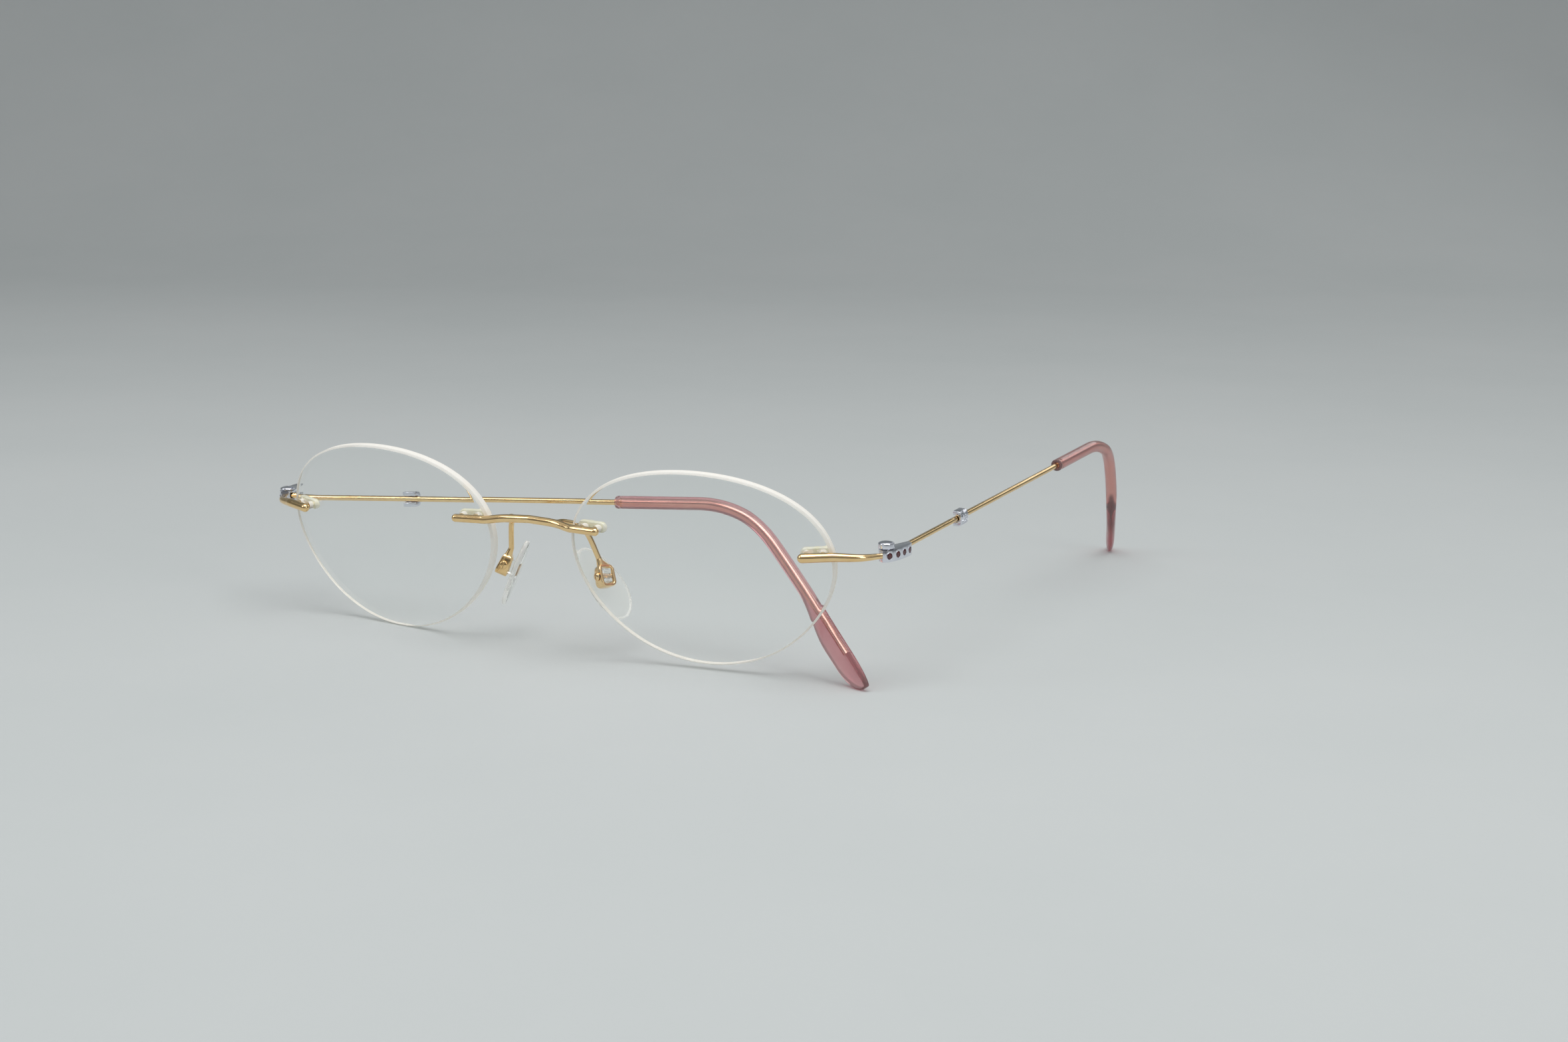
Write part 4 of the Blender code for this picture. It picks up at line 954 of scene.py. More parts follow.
def bushing_mesh(mount, shift):
    """A stadium plate with two hollow plugs."""
    half, corner = (BUSHING_LENGTH - BUSHING_HEIGHT) / 2, BUSHING_HEIGHT / 2
    outline = arc((half, 0.0), corner, -90, 90, 24) + arc((-half, 0.0), corner, 90, 270, 24)
    middle = BUSHING_FRONT + BUSHING_DEPTH / 2
    stand = mount @ Matrix.Translation((shift, middle, 0.0)) @ Matrix.Rotation(math.pi / 2, 4, "X")
    plate = soften(prism("plate", outline, BUSHING_DEPTH), 0.25 * MM)
    plate.transform(stand)
    plugs = across("plug", PLUG_RADIUS, mount, SEAT_GAP, middle)
    bores = across("bore", PIN_RADIUS + RUN_GAP, mount, -SEAT_GAP, BUSHING_BACK + SEAT_GAP)
    return carve(carve(plate, plugs, "UNION"), bores)


for spot_name, mount, shift in (("nasal", NASAL_MOUNT, -BUSHING_SHIFT),
                                ("temporal", TEMPORAL_MOUNT, BUSHING_SHIFT)):
    hand_over_pair("double_bushing_" + spot_name + "_{}", [bushing_mesh(mount, shift)], FRONT, "front",
                   ["bushing_" + spot_name + "_{}"], [bushing_plastic.material])

# %% [markdown]
# ## Pins
# Each gold bar carries two short pins that go back through lens and bushing. The pin is lathed with a small domed
# end, and the second node tree sets it on every mount, facing into the lens.

# %% One pin, and the seats it repeats on
PIN_DOME = 0.12 * MM
PIN_END = BUSHING_BACK + 0.15 * MM


def pin_mesh(start):
    """A pin along Z with a domed far end."""
    angles = [math.radians(a) for a in range(0, 90, 15)]
    dome = [(PIN_RADIUS * math.cos(a), PIN_END - PIN_DOME + PIN_DOME * math.sin(a)) for a in angles]
    return lathe("pin", [(0.0, start), (PIN_RADIUS, start), *dome, (0.0, PIN_END)], 24)


def pin_seats(mount):
    """Where a bar's two pins stand, and the way they point."""
    inward = mount.to_3x3() @ Vector((0.0, 1.0, 0.0))
    return [(mount @ Vector((x, 0.0, 0.0)), inward) for x in PIN_SPOTS]


# %% [markdown]
# ## Bridge
# One bar joins the lenses: it lies on the left one, arches over the nose and lies down again on the right. Half of
# its line is drawn through a few points and mirrored. Both ends are rounded like a bullet.

# %% Bridge
BRIDGE_RADIUS, BAR_END, BRIDGE_BAR_START = 0.72 * MM, 1.4 * MM, 1.3 * MM
BAR_SHARES = (0.2, 0.4, 0.6, 0.8, 1.0)
ARCH_DEPTH, ARCH_RISE, ARCH_HALF = -0.5 * MM, 0.7 * MM, 5.2 * MM


def bridge_line():
    """Centre line of the bridge's left half, from its middle out."""
    lie = -SEAT_GAP - BRIDGE_RADIUS
    bar_end = NASAL_MOUNT @ Vector((PIN_PITCH / 2 + BAR_END, lie, 0.0))
    bar_start = NASAL_MOUNT @ Vector((-PIN_PITCH / 2 - BRIDGE_BAR_START, lie, 0.0))
    arch_height = bar_start.z + ARCH_RISE
    shoulder = Vector((ARCH_HALF, ARCH_DEPTH, arch_height - 0.3 * MM))
    knee = bar_start.lerp(shoulder, 0.25)
    knee.z = bar_start.z
    arch = flowing([Vector((0.0, ARCH_DEPTH, arch_height)), shoulder, knee, bar_start], 12)
    return arch + [bar_start.lerp(bar_end, t) for t in BAR_SHARES]


half_bridge = round_off([(place, BRIDGE_RADIUS) for place in bridge_line()])
whole_bridge = [(MIRROR @ place, size) for place, size in reversed(half_bridge[1:])] + half_bridge
bridge_seats = pin_seats(NASAL_MOUNT)
bridge_seats += [(MIRROR @ place, MIRROR @ facing) for place, facing in bridge_seats]
bridge_pins = set_on_seats(pin_mesh(-SEAT_GAP - BRIDGE_RADIUS), bridge_seats, GOLD)
hand_over("gold_bridge", [draw_wire(whole_bridge, 48), bridge_pins], STAND, "front",
          ["bridge"], [GOLD])

# %% [markdown]
# ## End pieces
# An end piece is thick where it lies on the lens, then bends back and thins towards the hinge housing. The same
# wire tree makes it, with a radius that falls along the bend.

# %% End pieces
END_RADIUS, END_NECK, END_BAR_START = 0.80 * MM, 0.46 * MM, 1.5 * MM
EYE_RADIUS, EYE_HEIGHT = 0.80 * MM, 1.16 * MM


def end_piece_path():
    """Places and radii from the bar's inner end back to the hinge."""
    lie = -SEAT_GAP - END_RADIUS
    bar_end = TEMPORAL_MOUNT @ Vector((-PIN_PITCH / 2 - BAR_END, lie, 0.0))
    leave = TEMPORAL_MOUNT @ Vector((PIN_PITCH / 2 + END_BAR_START, lie, 0.0))
    stop = EYE_RADIUS + RUN_GAP + END_NECK
    seat = HINGE + Vector((-0.1 * stop, -1.05 * stop, 0.0))
    reach = seat - leave
    knee = leave + Vector((0.62 * reach.x, 0.44 * reach.y, 0.8 * reach.z))
    bend = flowing([leave, knee, seat], 14)
    bar = [(leave.lerp(bar_end, t), END_RADIUS) for t in BAR_SHARES]
    thinning = (END_NECK - END_RADIUS) / (len(bend) - 1)
    bent = [(place, END_RADIUS + thinning * i) for i, place in enumerate(bend)]
    return round_off(list(reversed(bent)) + bar)


end_pins = set_on_seats(pin_mesh(-SEAT_GAP - END_RADIUS), pin_seats(TEMPORAL_MOUNT), GOLD)
hand_over_pair("gold_end_piece_{}", [draw_wire(end_piece_path(), 44), end_pins], FRONT, "front",
               ["end_piece_{}"], [GOLD])

# %% [markdown]
# ## Hinge housings
# The housing is a small silver shell: an outer wall between two flanges, open on the inner side so that the temple
# can fold in. Its plan is a smooth line through a few places measured outwards and backwards from the hinge axis.
# A prism of that plan is hollowed, except in front, where it closes round the end piece. Its edges are rounded, and
# then the bores and the seats for the stones are cut.

# %% Housing plan and stone seats
FLANGE, WALL, BOSS_RADIUS = 0.32 * MM, 0.45 * MM, 1.28 * MM
HOUSING_HALF = EYE_HEIGHT / 2 + RUN_GAP + FLANGE
HOLLOW_FROM = -0.78 * MM
SHANK_RADIUS = 0.36 * MM
PLAN_SPOTS = ((0.2, -1.75), (1.08, -0.92), (1.79, 0.96), (2.11, 2.81), (2.25, 4.73), (2.1, 5.7))
PLAN = [Vector(spot) * MM for spot in PLAN_SPOTS]
PLAN_TIP = Vector((1.1, 6.7)) * MM
WALL_STEPS = 9
WALL_LINE = flowing(PLAN, WALL_STEPS)
SLOPED = Matrix.Identity(4)
SLOPED[2][1] = 0.03
HOUSING_PLACE = Matrix.Translation(HINGE) @ SLOPED
STONE_RADIUS, STONE_DEPTH, STONE_STEPS = 0.56 * MM, 0.28 * MM, 12
STONE_SEAT_RADIUS = STONE_RADIUS + 0.02 * MM


def wall_normal(index):
    """Outward direction of the wall at a point of its line."""
    ahead = WALL_LINE[min(index + 1, len(WALL_LINE) - 1)] - WALL_LINE[max(index - 1, 0)]
    return Vector((ahead.y, -ahead.x)).normalized()


def stone_seat(number, depth):
    """A stone's place at a depth in the wall, and the way it faces."""
    index = number * WALL_STEPS
    return HOUSING_PLACE @ (WALL_LINE[index] - wall_normal(index) * depth).to_3d(), wall_normal(index).to_3d()


STONE_NUMBERS = (1, 2, 3, 4)
print("stones stand", [round((PLAN[i + 1] - PLAN[i]).length / MM, 2) for i in (1, 2, 3)], "mm apart")


# %% Housings
def housing_mesh():
    """The hollow shell with its bores and stone seats."""
    outline = [*WALL_LINE, PLAN_TIP, *arc((0.0, 0.0), BOSS_RADIUS, 155, 250, 16)]
    inner = [WALL_LINE[i] - wall_normal(i) * WALL for i in range(2, len(WALL_LINE))]
    inner = [spot for spot in inner if spot.y > HOLLOW_FROM]
    past = PLAN_TIP.y + WALL
    inner += [(inner[-1].x, past), (-4 * MM, past), (-4 * MM, inner[0].y)]
    opening = EYE_HEIGHT + 2 * RUN_GAP
    body = carve(prism("housing", outline, 2 * HOUSING_HALF), [prism("hollow", inner, opening)])
    body = soften(body, 0.07 * MM, 2, 40.0)
    body.transform(HOUSING_PLACE)
    lift = Vector((0.0, 0.0, 2 * HOUSING_HALF))
    tools = [rod("bore", SHANK_RADIUS + RUN_GAP, HINGE - lift, HINGE + lift)]
    lift = Vector((0.0, 0.0, opening / 2))
    tools.append(rod("eye_room", EYE_RADIUS + RUN_GAP, HINGE - lift, HINGE + lift, 40))
    for number in STONE_NUMBERS:
        floor, normal = stone_seat(number, STONE_DEPTH + RUN_GAP)
        tools.append(rod("seat", STONE_SEAT_RADIUS, floor, floor + normal * 4 * STONE_DEPTH, 32))
    return carve(body, tools)


def rim_mesh():
    """A thin raised ring that holds a stone."""
    half_width, half_height = 0.04 * MM, 0.025 * MM
    ring = [(STONE_SEAT_RADIUS + half_width * math.cos(a), half_height * math.sin(a)) for a in full_turn(12)]
    return closed_ring("rim", ring, 36)


rims = set_on_seats(rim_mesh(), [stone_seat(n, 0.0) for n in STONE_NUMBERS], SILVER)
hand_over_pair("silver_housing_{}", [housing_mesh(), rims], FRONT, "front",
               ["hinge_housing_{}"], [SILVER])

# %% [markdown]
# ## Stones
# A small round stone is cut with a flat table, a sloping crown and a pointed back. Flat facets are what make it
# sparkle, so this piece keeps its hard edges. One stone is modelled and the seat tree sets it four times a side.

# %% Garnets in their seats
def stone_mesh():
    """A cut stone: table, two rows of crown facets, girdle and a shallow back."""
    top = 0.04 * MM
    rows = [(0.0, top, 0.0), (0.56, top, 0.0), (0.84, top - 0.05 * MM, 0.5), (1.0, top - 0.12 * MM, 0.0),
            (1.0, top - 0.16 * MM, 0.0), (0.0, -STONE_DEPTH, 0.0)]
    rings = []
    for share, height, shift in rows:
        turns = [0.0] if share == 0.0 else full_turn(STONE_STEPS, shift)
        rings.append([Vector((share * STONE_RADIUS * math.cos(t), share * STONE_RADIUS * math.sin(t), height))
                      for t in turns])
    return shell("stone", rings)


garnets = set_on_seats(stone_mesh(), [stone_seat(n, 0.0) for n in STONE_NUMBERS], GARNET)
for stones in hand_over_pair("garnets_{}", [garnets], FRONT, "front",
                             [f"stone_{n}_{{}}" for n in STONE_NUMBERS], [GARNET]):
    stones.data.shade_flat()

# %% [markdown]
# ## Hinge screws
# The screw is lathed: a shank through the hinge and a broad domed head with a slot across it. In the photograph the
# left one stands taller over its housing than the right one, so its head has a straight collar below the dome.

# %% Hinge screws
SCREW_HEAD, SCREW_TOP, SCREW_BRIM = 1.38 * MM, 0.6 * MM, 0.16 * MM
SCREW_COLLARS = {"left": 0.6 * MM, "right": 0.0}
CHAMFER = 0.03 * MM


def bar_slot(half_length, half_width, depth, place):
    """A straight slot, to be cut across a screw's head."""
    corners = [(-half_length, -half_width), (half_length, -half_width), (half_length, half_width),
               (-half_length, half_width)]
    return prism("slot", corners, depth, Matrix.Translation(place))


def hinge_screw_mesh(collar):
    """Shank, collar, head with a rolled edge, dome and slot."""
    foot, seat, roll = -HOUSING_HALF, HOUSING_HALF + RUN_GAP, 0.08 * MM
    brim, top = seat + collar + SCREW_BRIM, seat + collar + SCREW_TOP
    line = [(0.0, foot), (SHANK_RADIUS - CHAMFER, foot), (SHANK_RADIUS, foot + CHAMFER), (SHANK_RADIUS, seat),
            (SCREW_HEAD - roll, seat), (SCREW_HEAD, seat + roll)]
    for degrees in range(0, 90, 9):
        a = math.radians(degrees)
        line.append((SCREW_HEAD * math.cos(a) ** 0.75, brim + (SCREW_TOP - SCREW_BRIM) * math.sin(a)))
    head = lathe("screw", [*line, (0.0, top)], 64, Matrix.Translation(HINGE))
    slot = bar_slot(3 * MM, 0.15 * MM, SCREW_TOP * 0.9, (HINGE.x, HINGE.y, HINGE.z + top))
    return soften(carve(head, [slot]), 0.02 * MM, 2, 50.0)


for side, collar in SCREW_COLLARS.items():
    hand_over("silver_hinge_screw_" + side, [hinge_screw_mesh(collar)], FRONT[side], "front",
              ["hinge_screw_" + side], [SILVER])

# %% [markdown]
# ## Temples
# A temple is one gold wire. It starts in a flat eye round the hinge screw, runs straight, bends down over the ear
# and ends inside the plastic tip, where it is a paler core. Its line is drawn about the hinge axis: the straight
# run, a bend that leaves and joins it smoothly, and a leg that curls inwards towards its end.

# %% Line of a temple
WIRE_RADIUS, WIRE_DROP, WIRE_SLOPE = 0.5 * MM, 0.23 * MM, 0.062
BEND_AT, BEND_LEAD = 97.4 * MM, 9.0 * MM
TIP_ANGLE = math.radians(45.3)
TIP_END_HEIGHT = -21.5775 * MM
TOE_IN, TOE_POWER = 9.1 * MM, 1.33
SLEEVE_AT = 72.3 * MM
ROOT_RADIUS, ROOT_LENGTH, CORE_SHORT = 0.55 * MM, 6.5 * MM, 6.0 * MM


def wire_height(y):
    """Height of the straight wire's axis."""
    return WIRE_SLOPE * y - WIRE_DROP


def temple_line(start):
    """Centre line from a place on the wire, round the bend, to the tip's end."""
    corner = Vector((0.0, BEND_AT, wire_height(BEND_AT)))
    before = Vector((0.0, 1.0, WIRE_SLOPE)).normalized()
    after = Vector((0.0, math.cos(TIP_ANGLE), -math.sin(TIP_ANGLE)))
    run = (wire_height(BEND_AT) - TIP_END_HEIGHT) / math.tan(TIP_ANGLE)
    leg = run / math.cos(TIP_ANGLE)
    straight = [start + (BEND_AT - BEND_LEAD - start) * i / 12 for i in range(12)]
    line = [Vector((0.0, y, wire_height(y))) for y in straight]
    for i in range(25):
        t = i / 24
        line.append((corner - before * BEND_LEAD) * (1 - t) ** 2 + corner * 2 * t * (1 - t)
                    + (corner + after * BEND_LEAD) * t ** 2)
    leg_shares = [0.04 + 0.84 * i / 24 for i in range(25)] + [0.9, 0.92, 0.94, 0.955, 0.97, 0.98, 0.988, 0.995]
    line += [corner + after * (BEND_LEAD + (leg - BEND_LEAD) * t) for t in leg_shares]
    for point in line:
        point.x = -TOE_IN * max(0.0, (point.y - BEND_AT) / run) ** TOE_POWER
    return line


tip_line = temple_line(SLEEVE_AT)
print("tip line:", round(sum((b - a).length for a, b in zip(tip_line, tip_line[1:])) / MM, 1), "mm")

# %% Temple wires with their eyes
root_slope = WIRE_SLOPE - WIRE_DROP / ROOT_LENGTH
root = [Vector((0.0, y, root_slope * y)) for y in (0.55 * MM, 3.0 * MM, ROOT_LENGTH)]
front_run = [Vector((0.0, y * MM, wire_height(y * MM))) for y in (7.8, 14, 20, 26, 32, 38, 44, 50, 56, 62, 68)]
core_run = [p for p in tip_line if (p - tip_line[-1]).length > CORE_SHORT]
wire_path = [(p, ROOT_RADIUS) for p in root] + [(p, WIRE_RADIUS) for p in front_run + core_run[:2]]
core_path = [(p, WIRE_RADIUS * 0.98) for p in core_run[1:]]
upper_eye = [(EYE_RADIUS, 0.52 * MM), (0.74 * MM, EYE_HEIGHT / 2), (0.50 * MM, EYE_HEIGHT / 2),
             (SHANK_RADIUS + RUN_GAP, 0.54 * MM)]
eye_line = [(radius, -height) for radius, height in reversed(upper_eye)] + upper_eye
core = draw_wire(core_path, 32, CORE_METAL)
core.polygons.foreach_set("material_index", [1] * len(core.polygons))
wire_pieces = [draw_wire(wire_path, 32), core, closed_ring("eye", eye_line, 48)]
hand_over_pair("gold_temple_wire_{}", wire_pieces, TEMPLE, "temple_{}", ["temple_wire_{}"],
               [GOLD, CORE_METAL])

# %% [markdown]
# ## Beads
# A silver bead is clipped round each wire. From outside it is a rounded block whose face is cut with a fine
# sparkling grain. From inside it is two bands, above and below the wire. The block is a rounded outline pushed
# along the wire, and the grain is 117 tiny four-sided studs set on the curved face by the seat tree.

# %% Beads and their grain
BEAD_AT, BEAD_LENGTH, BEAD_HEIGHT = 28.5 * MM, 2.8 * MM, 2.8 * MM
BEAD_FACE, BEAD_LIP = 1.25 * MM, 0.6 * MM
BEAD_HALF = BEAD_HEIGHT / 2
GRAIN = 0.10 * MM


def bead_edge(degrees, inset=0.0):
    """A point of the bead's rounded outer face, seen along the wire."""
    a = math.radians(degrees)
    return (BEAD_FACE - inset) * math.cos(a) ** 0.6, (BEAD_HALF - inset) * math.sin(a)


def bead_mesh():
    """The clip: a rounded outline with a groove for the wire."""
    bore = WIRE_RADIUS + RUN_GAP
    face = [bead_edge(degrees, GRAIN * 0.4) for degrees in range(-78, 79, 6)]
    groove = [(-BEAD_LIP, bore), *arc((0.0, 0.0), bore * 1.04, 90, -90, 20), (-BEAD_LIP, -bore)]
    outline = [(-BEAD_LIP, -BEAD_HALF), *face, (-BEAD_LIP, BEAD_HALF), *groove]
    return soften(prism("bead", outline, BEAD_LENGTH), 0.14 * MM, 4, 50.0)


def grain_seats():
    """Rows of seats over the face, each facing straight out."""
    seats, studs = [], 9
    for row, degrees in enumerate(range(-66, 67, 11)):
        x, y = bead_edge(degrees, GRAIN * 0.5)
        ahead = Vector(bead_edge(degrees + 1)) - Vector(bead_edge(degrees - 1))
        facing = Vector((ahead.y, -ahead.x, 0.0)).normalized()
        for i in range(studs):
            z = BEAD_LENGTH * ((i + 0.5 * (row % 2) + 0.25) / studs - 0.5) * 0.86
            seats.append((Vector((x, y, z)), facing))
    return seats


stud = lathe("stud", [(0.0, -0.06 * MM), (0.17 * MM, -0.06 * MM), (0.0, GRAIN)], 4)
run = Vector((0.0, 1.0, WIRE_SLOPE)).normalized()
bead_turn = Matrix(((1.0, 0.0, 0.0), (0.0, -run.z, run.y), (0.0, -run.y, -run.z))).inverted().to_4x4()
bead_place = Matrix.Translation((0.0, BEAD_AT, wire_height(BEAD_AT))) @ bead_turn
grain_inputs = {"Smallest": 0.7, "Random turn": 1.6, "Seed": 11}
bead_parts = [bead_mesh(), set_on_seats(stud, grain_seats(), SILVER, **grain_inputs)]
bead_places = {side: TEMPLE[side] @ bead_place for side in TEMPLE}
hand_over_pair("silver_bead_{}", bead_parts, bead_places, "temple_{}", ["bead_{}"], [SILVER])

# %% [markdown]
# ## Temple tips
# The acetate tip starts as a slim sleeve on the wire, follows it round the bend and widens into a flat paddle. It
# is lofted: each section is an oval with its own width and thickness, and the last few shrink to a rounded end. The
# mouth of the sleeve has a small rolled rim.

# %% Sections of a tip
SLEEVE_RADIUS = 1.15 * MM
PADDLE_WIDTH, PADDLE_THICKNESS, PADDLE_LENGTH = 5.0 * MM, 1.9 * MM, 21.0 * MM


def tip_sections(line):
    """Centre, half thickness and half width of each section."""
    left = [0.0]
    for a, b in zip(reversed(line), list(reversed(line))[1:]):
        left.append(left[-1] + (b - a).length)
    left.reverse()
    sections = []
    for i, point in enumerate(line):
        ahead = (line[min(i + 1, len(line) - 1)] - line[max(i - 1, 0)]).normalized()
        spread = max(0.0, min(1.0, (PADDLE_LENGTH - left[i]) / (0.5 * PADDLE_LENGTH)))
        spread = spread * spread * (3 - 2 * spread)
        half_width = SLEEVE_RADIUS + (PADDLE_WIDTH / 2 - SLEEVE_RADIUS) * spread
        half_thick = SLEEVE_RADIUS + (PADDLE_THICKNESS / 2 - SLEEVE_RADIUS) * spread
        nose = math.sqrt(max(0.0, 1 - (1 - min(1.0, left[i] / (0.3 * PADDLE_LENGTH))) ** 2))
        side = ahead.cross(Vector((0.0, 0.0, 1.0))).normalized()
        down = ahead.cross(side).normalized()
        centre = point + down * (half_width - SLEEVE_RADIUS) * nose
        sections.append((centre, side * half_thick * (0.4 + 0.6 * nose), down * half_width * (0.12 + 0.88 * nose)))
    return sections


def oval(section, size=1.0, shift=Vector(), sides=48):
    """Places round a section, resized and shifted if asked."""
    centre, wide, down = section
    return [centre + shift + (wide * math.cos(a) + down * math.sin(a)) * size for a in full_turn(sides)]


# %% Tips
sections = tip_sections(tip_line)
inwards = (tip_line[1] - tip_line[0]).normalized()
onwards = (tip_line[-1] - tip_line[-2]).normalized()
mouth = sections[0]
mouth_roll = ((0.5, 0.9), (0.52, 0.12), (0.64, 0.0), (0.84, 0.02), (0.95, 0.1), (1.0, 0.3), (1.0, 0.5),
              (0.955, 0.75), (0.985, 1.0))
tip_rings = [[mouth[0] + inwards * mouth_roll[0][1] * MM]]
tip_rings += [oval(mouth, size, inwards * depth * MM) for size, depth in mouth_roll]
tip_rings += [oval(section) for section in sections[1:]]
tip_rings.append([sections[-1][0] + onwards * 0.06 * MM])
hand_over_pair("acetate_tip_{}", [shell("tip", tip_rings)], TEMPLE, "temple_{}",
               ["temple_tip_{}"], [ACETATE])

# %% [markdown]
# ## Pad arms
# A pad arm is a thin wire that leaves the bridge's shoulder, swings back and drops to a short tapered neck. The
# neck carries a ring like a flat chain link, which holds the nose pad's lug. The ring is a prism of a rounded
# rectangle with a window cut in it. Its edges are softened, it thins towards the neck, and a cross bore takes the
# pad's screw.

# %% Axes of the pad box
PAD_BOX = Vector((10.7, 7.6, 13.3)) * MM
PAD_LONG = Vector((0.497, 0.231, -0.837))
PAD_FACE = Vector((-0.843, 0.356, -0.402))
SCREW_TURN = math.radians(30.0)
screw_way = (Matrix.Rotation(SCREW_TURN, 3, PAD_FACE) @ PAD_LONG.cross(PAD_FACE)).normalized()
PAD_PLACE = Matrix.Translation(PAD_BOX) @ Matrix((
    screw_way, PAD_FACE.normalized(), screw_way.cross(PAD_FACE).normalized())).transposed().to_4x4()
BOX_WIDTH, BOX_DEPTH, BOX_LENGTH, BOX_WALL = 3.0 * MM, 2.2 * MM, 4.0 * MM, 0.5 * MM
ARM_RADIUS, NECK_HEIGHT, NECK_LEAN, NECK_SUNK = 0.48 * MM, 1.2 * MM, 0.7 * MM, 0.3 * MM
ARM_ROOT = Vector((ARCH_HALF - 0.1 * MM, ARCH_DEPTH, 23.4858 * MM))
PAD_SHANK_RADIUS = 0.38 * MM
PAD_BORE_RADIUS = PAD_SHANK_RADIUS + RUN_GAP
print("pad box in mm:", [round(c / MM, 1) for c in PAD_PLACE.translation])


# %% Pad arms
def pad_bore():
    """The screw's bore across the box."""
    return rod("bore", PAD_BORE_RADIUS, (-BOX_WIDTH, 0.0, 0.0), (BOX_WIDTH, 0.0, 0.0))


def ring_mesh():
    """The open box: a rounded frame with softened edges."""
    loops = []
    for inset, corner in ((0.0, 0.9 * MM), (BOX_WALL, 0.45 * MM)):
        half_x, half_z = BOX_WIDTH / 2 - inset - corner, BOX_LENGTH / 2 - inset - corner
        centres = ((half_x, half_z), (-half_x, half_z), (-half_x, -half_z), (half_x, -half_z))
        loop = []
        for quarter, centre in enumerate(centres):
            loop += arc(centre, corner, 90 * quarter, 90 * quarter + 90, 8)
        loops.append(loop)
    upright = Matrix.Rotation(math.pi / 2, 4, "X")
    window = prism("window", loops[1], 2 * BOX_DEPTH, upright)
    softened = soften(carve(prism("box", loops[0], BOX_DEPTH, upright), [window]), 0.16 * MM, 3, 50.0)
    for vert in softened.vertices:
        vert.co.y *= 1 - 0.4 * max(0.0, min(1.0, vert.co.z / (BOX_LENGTH / 2))) ** 1.5
    bored = carve(softened, [pad_bore()])
    bored.transform(PAD_PLACE)
    return bored


def arm_path():
    """The arm's line, from the bridge's shoulder down to the neck."""
    neck_top = PAD_PLACE @ Vector((-NECK_LEAN, 0.0, BOX_LENGTH / 2 + NECK_HEIGHT))
    start = ARM_ROOT + Vector((0.0, BRIDGE_RADIUS + SEAT_GAP, 0.0))
    reach = neck_top - start
    shares = ((0.1, 0.28, 0.03), (0.5, 0.64, 0.18), (0.75, 0.8, 0.42))
    line = flowing([start, *[start + reach * Vector(share) for share in shares], neck_top], 12)
    buried = ARM_ROOT + Vector((0.0, 0.2 * MM, 0.0))
    low = PAD_PLACE @ Vector((0.0, 0.0, BOX_LENGTH / 2 - BOX_WALL / 2))
    return [(place, ARM_RADIUS) for place in [buried, *line, low]]


def neck_mesh():
    """A loft from the ring's flat shoulder to the round wire."""
    rings = []
    for share in (0.0, 0.12, 0.3, 0.5, 0.7, 0.85, 1.0):
        ease = share * share * (3 - 2 * share)
        half_x, half_y = [foot * (1 - ease) + (ARM_RADIUS + 0.01 * MM) * ease for foot in (1.15 * MM, 0.66 * MM)]
        height = BOX_LENGTH / 2 - NECK_SUNK + (NECK_HEIGHT + NECK_SUNK) * share
        middle = Vector((-NECK_LEAN * ease, 0.0, height))
        square = 0.55 + 0.45 * share
        rings.append([middle + Vector((
            half_x * math.copysign(abs(math.cos(a)) ** square, math.cos(a)),
            half_y * math.copysign(abs(math.sin(a)) ** square, math.sin(a)), 0.0)) for a in full_turn(40)])
    return shell("neck", rings, PAD_PLACE)


hand_over_pair("gold_pad_arm_{}", [draw_wire(arm_path(), 32), neck_mesh(), ring_mesh()], FRONT, "front",
               ["pad_arm_{}"], [GOLD])

# %% [markdown]
# ## Pad screws
# A very small gold screw crosses each box. It has the same domed and slotted head as any eyeglass screw, lathed in
# one go.

# %% Pad screws
def pad_screw_mesh():
    """Shank and slotted head, laid across the box."""
    foot, seat, roll = -BOX_WIDTH / 2, BOX_WIDTH / 2 + RUN_GAP, 0.05 * MM
    radius, height, brim = 0.75 * MM, 0.45 * MM, 0.14 * MM
    line = [(0.0, foot), (PAD_SHANK_RADIUS - CHAMFER, foot), (PAD_SHANK_RADIUS, foot + CHAMFER),
            (PAD_SHANK_RADIUS, seat), (radius - roll, seat), (radius, seat + roll)]
    for degrees in range(0, 81, 10):
        a = math.radians(degrees)
        line.append((radius * math.cos(a) ** 0.8, seat + brim + (height - brim) * math.sin(a)))
    screw_body = lathe("pad_screw", [*line, (0.0, seat + height)], 40)
    slot = bar_slot(2 * MM, 0.09 * MM, 0.4 * MM, (0.0, 0.0, seat + height))
    mesh = carve(screw_body, [slot])
    mesh.transform(PAD_PLACE @ Matrix.Rotation(-math.pi / 2, 4, "Y"))
    return mesh


hand_over_pair("gold_pad_screw_{}", [pad_screw_mesh()], FRONT, "front", ["pad_screw_{}"], [GOLD])

# %% [markdown]
# ## Nose pads
# A nose pad is a drop-shaped cushion of clear silicone, fuller below. Its faces are rings that grow from the middle
# to the rim, which keeps the whitish rim a clean band. A small lug behind it sits in the arm's box. The lug is
# joined with a boolean so that no inner wall shows through.

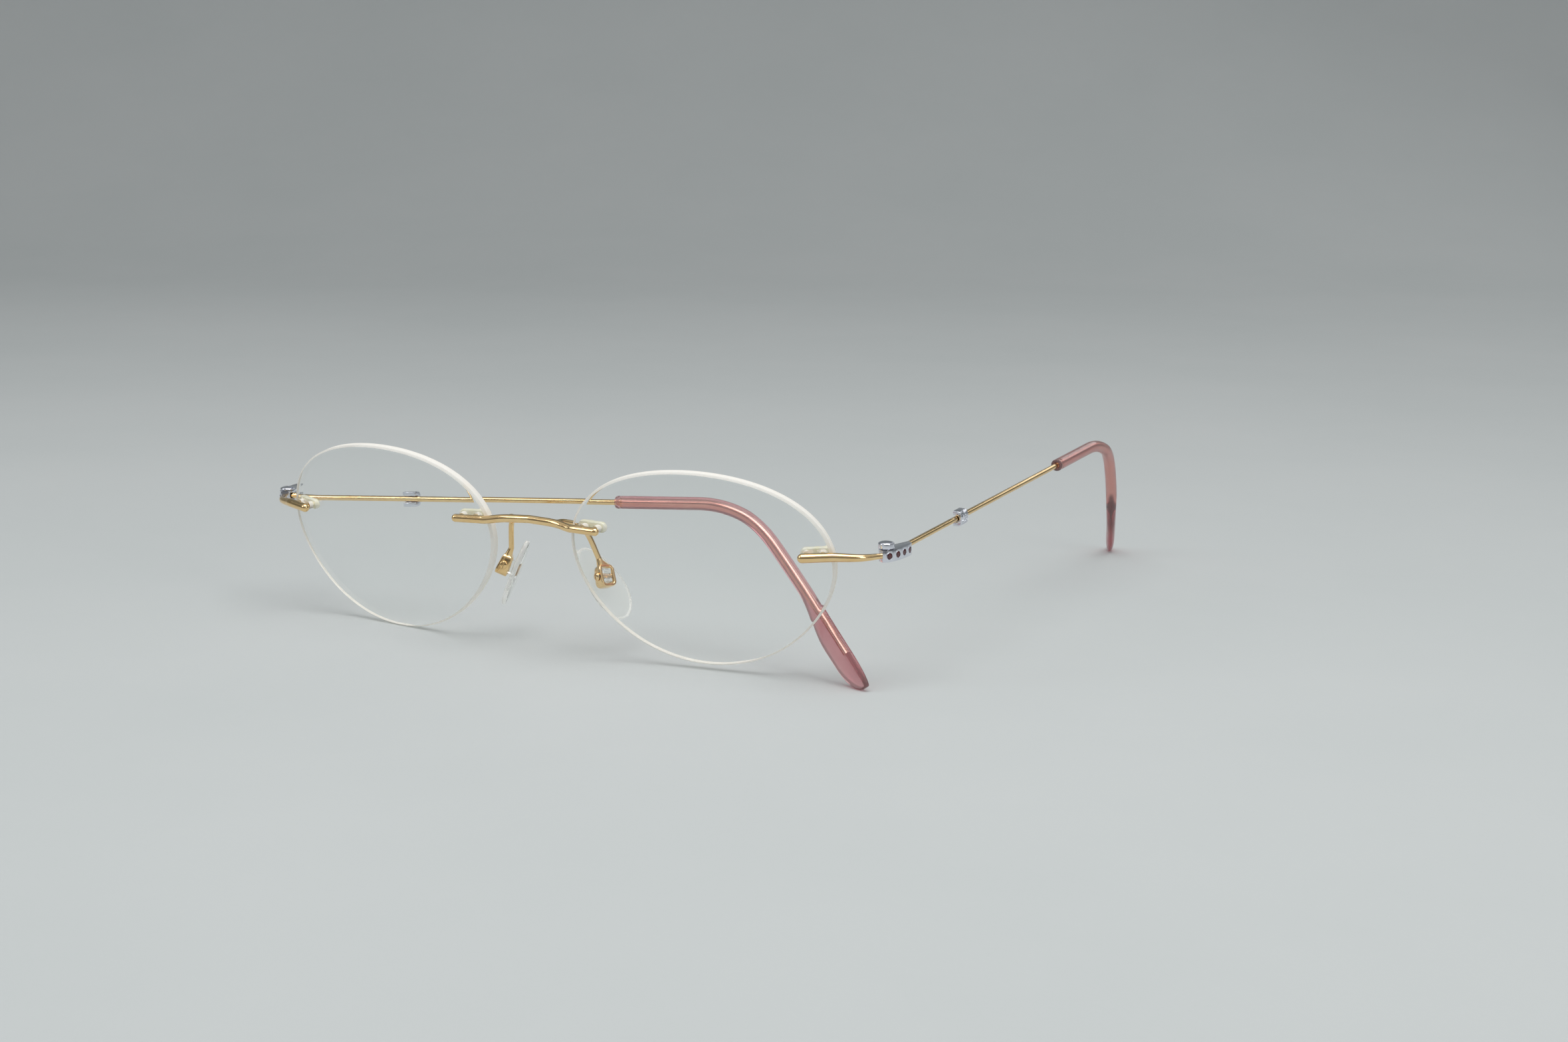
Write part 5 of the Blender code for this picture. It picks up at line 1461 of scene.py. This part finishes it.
# %% Nose pads
PAD_LENGTH, PAD_WIDTH, PAD_THICKNESS = 14.6 * MM, 7.4 * MM, 1.35 * MM
PAD_CENTRE = Vector((0.5, 2.3, -1.1)) * MM
PAD_TAPER, PAD_RIM, PAD_STEPS = 0.2, 0.95, 72
LUG_GAP = 0.3 * MM


def cushion_ring(share, side):
    """One ring of the cushion, on its front (-1) or back (1) face."""
    depth = side * (1 - share * share) ** 0.25 * PAD_THICKNESS / 2
    return [PAD_CENTRE + Vector((
        share * math.cos(a) * (1 - PAD_TAPER * share * math.sin(a)) * PAD_WIDTH / 2, depth,
        share * math.sin(a) * PAD_LENGTH / 2)) for a in ([0.0] if share == 0.0 else full_turn(PAD_STEPS))]


def on_rim(spot):
    """Whether a spot of the upright cushion lies on its rim."""
    height = 2 * spot.z / PAD_LENGTH
    return math.hypot(2 * spot.x / PAD_WIDTH / (1 - PAD_TAPER * height), height) > PAD_RIM


def nose_pad_mesh():
    """The cushion, its lug and the bore for the screw."""
    shares = [0.0, 0.2, 0.4, 0.58, 0.72, 0.82, 0.89, 0.94, 0.97, 0.988, 0.997]
    rings = [cushion_ring(share, -1) for share in shares] + [cushion_ring(1.0, 0)]
    rings += [cushion_ring(share, 1) for share in reversed(shares)]
    cushion = shell("cushion", rings, Matrix.Rotation(-SCREW_TURN, 4, "Y"))
    front = SEAT_GAP - BOX_DEPTH / 2
    half_x, half_z = BOX_WIDTH / 2 - BOX_WALL - SEAT_GAP, BOX_LENGTH / 2 - BOX_WALL - LUG_GAP
    outline = [(-half_x, front), (half_x, front), (half_x, PAD_CENTRE.y), (-half_x, PAD_CENTRE.y)]
    lug = soften(prism("lug", outline, 2 * half_z), 0.12 * MM)
    mesh = carve(carve(cushion, [lug], "UNION"), [pad_bore()])
    for polygon in mesh.polygons:
        if on_rim(Matrix.Rotation(SCREW_TURN, 3, "Y") @ polygon.center - PAD_CENTRE):
            polygon.material_index = 1
    mesh.transform(PAD_PLACE)
    return mesh


hand_over_pair("silicone_pad_{}", [nose_pad_mesh()], FRONT, "nose_pad_{}",
               ["nose_pad_{}"], PAD_FINISHES)
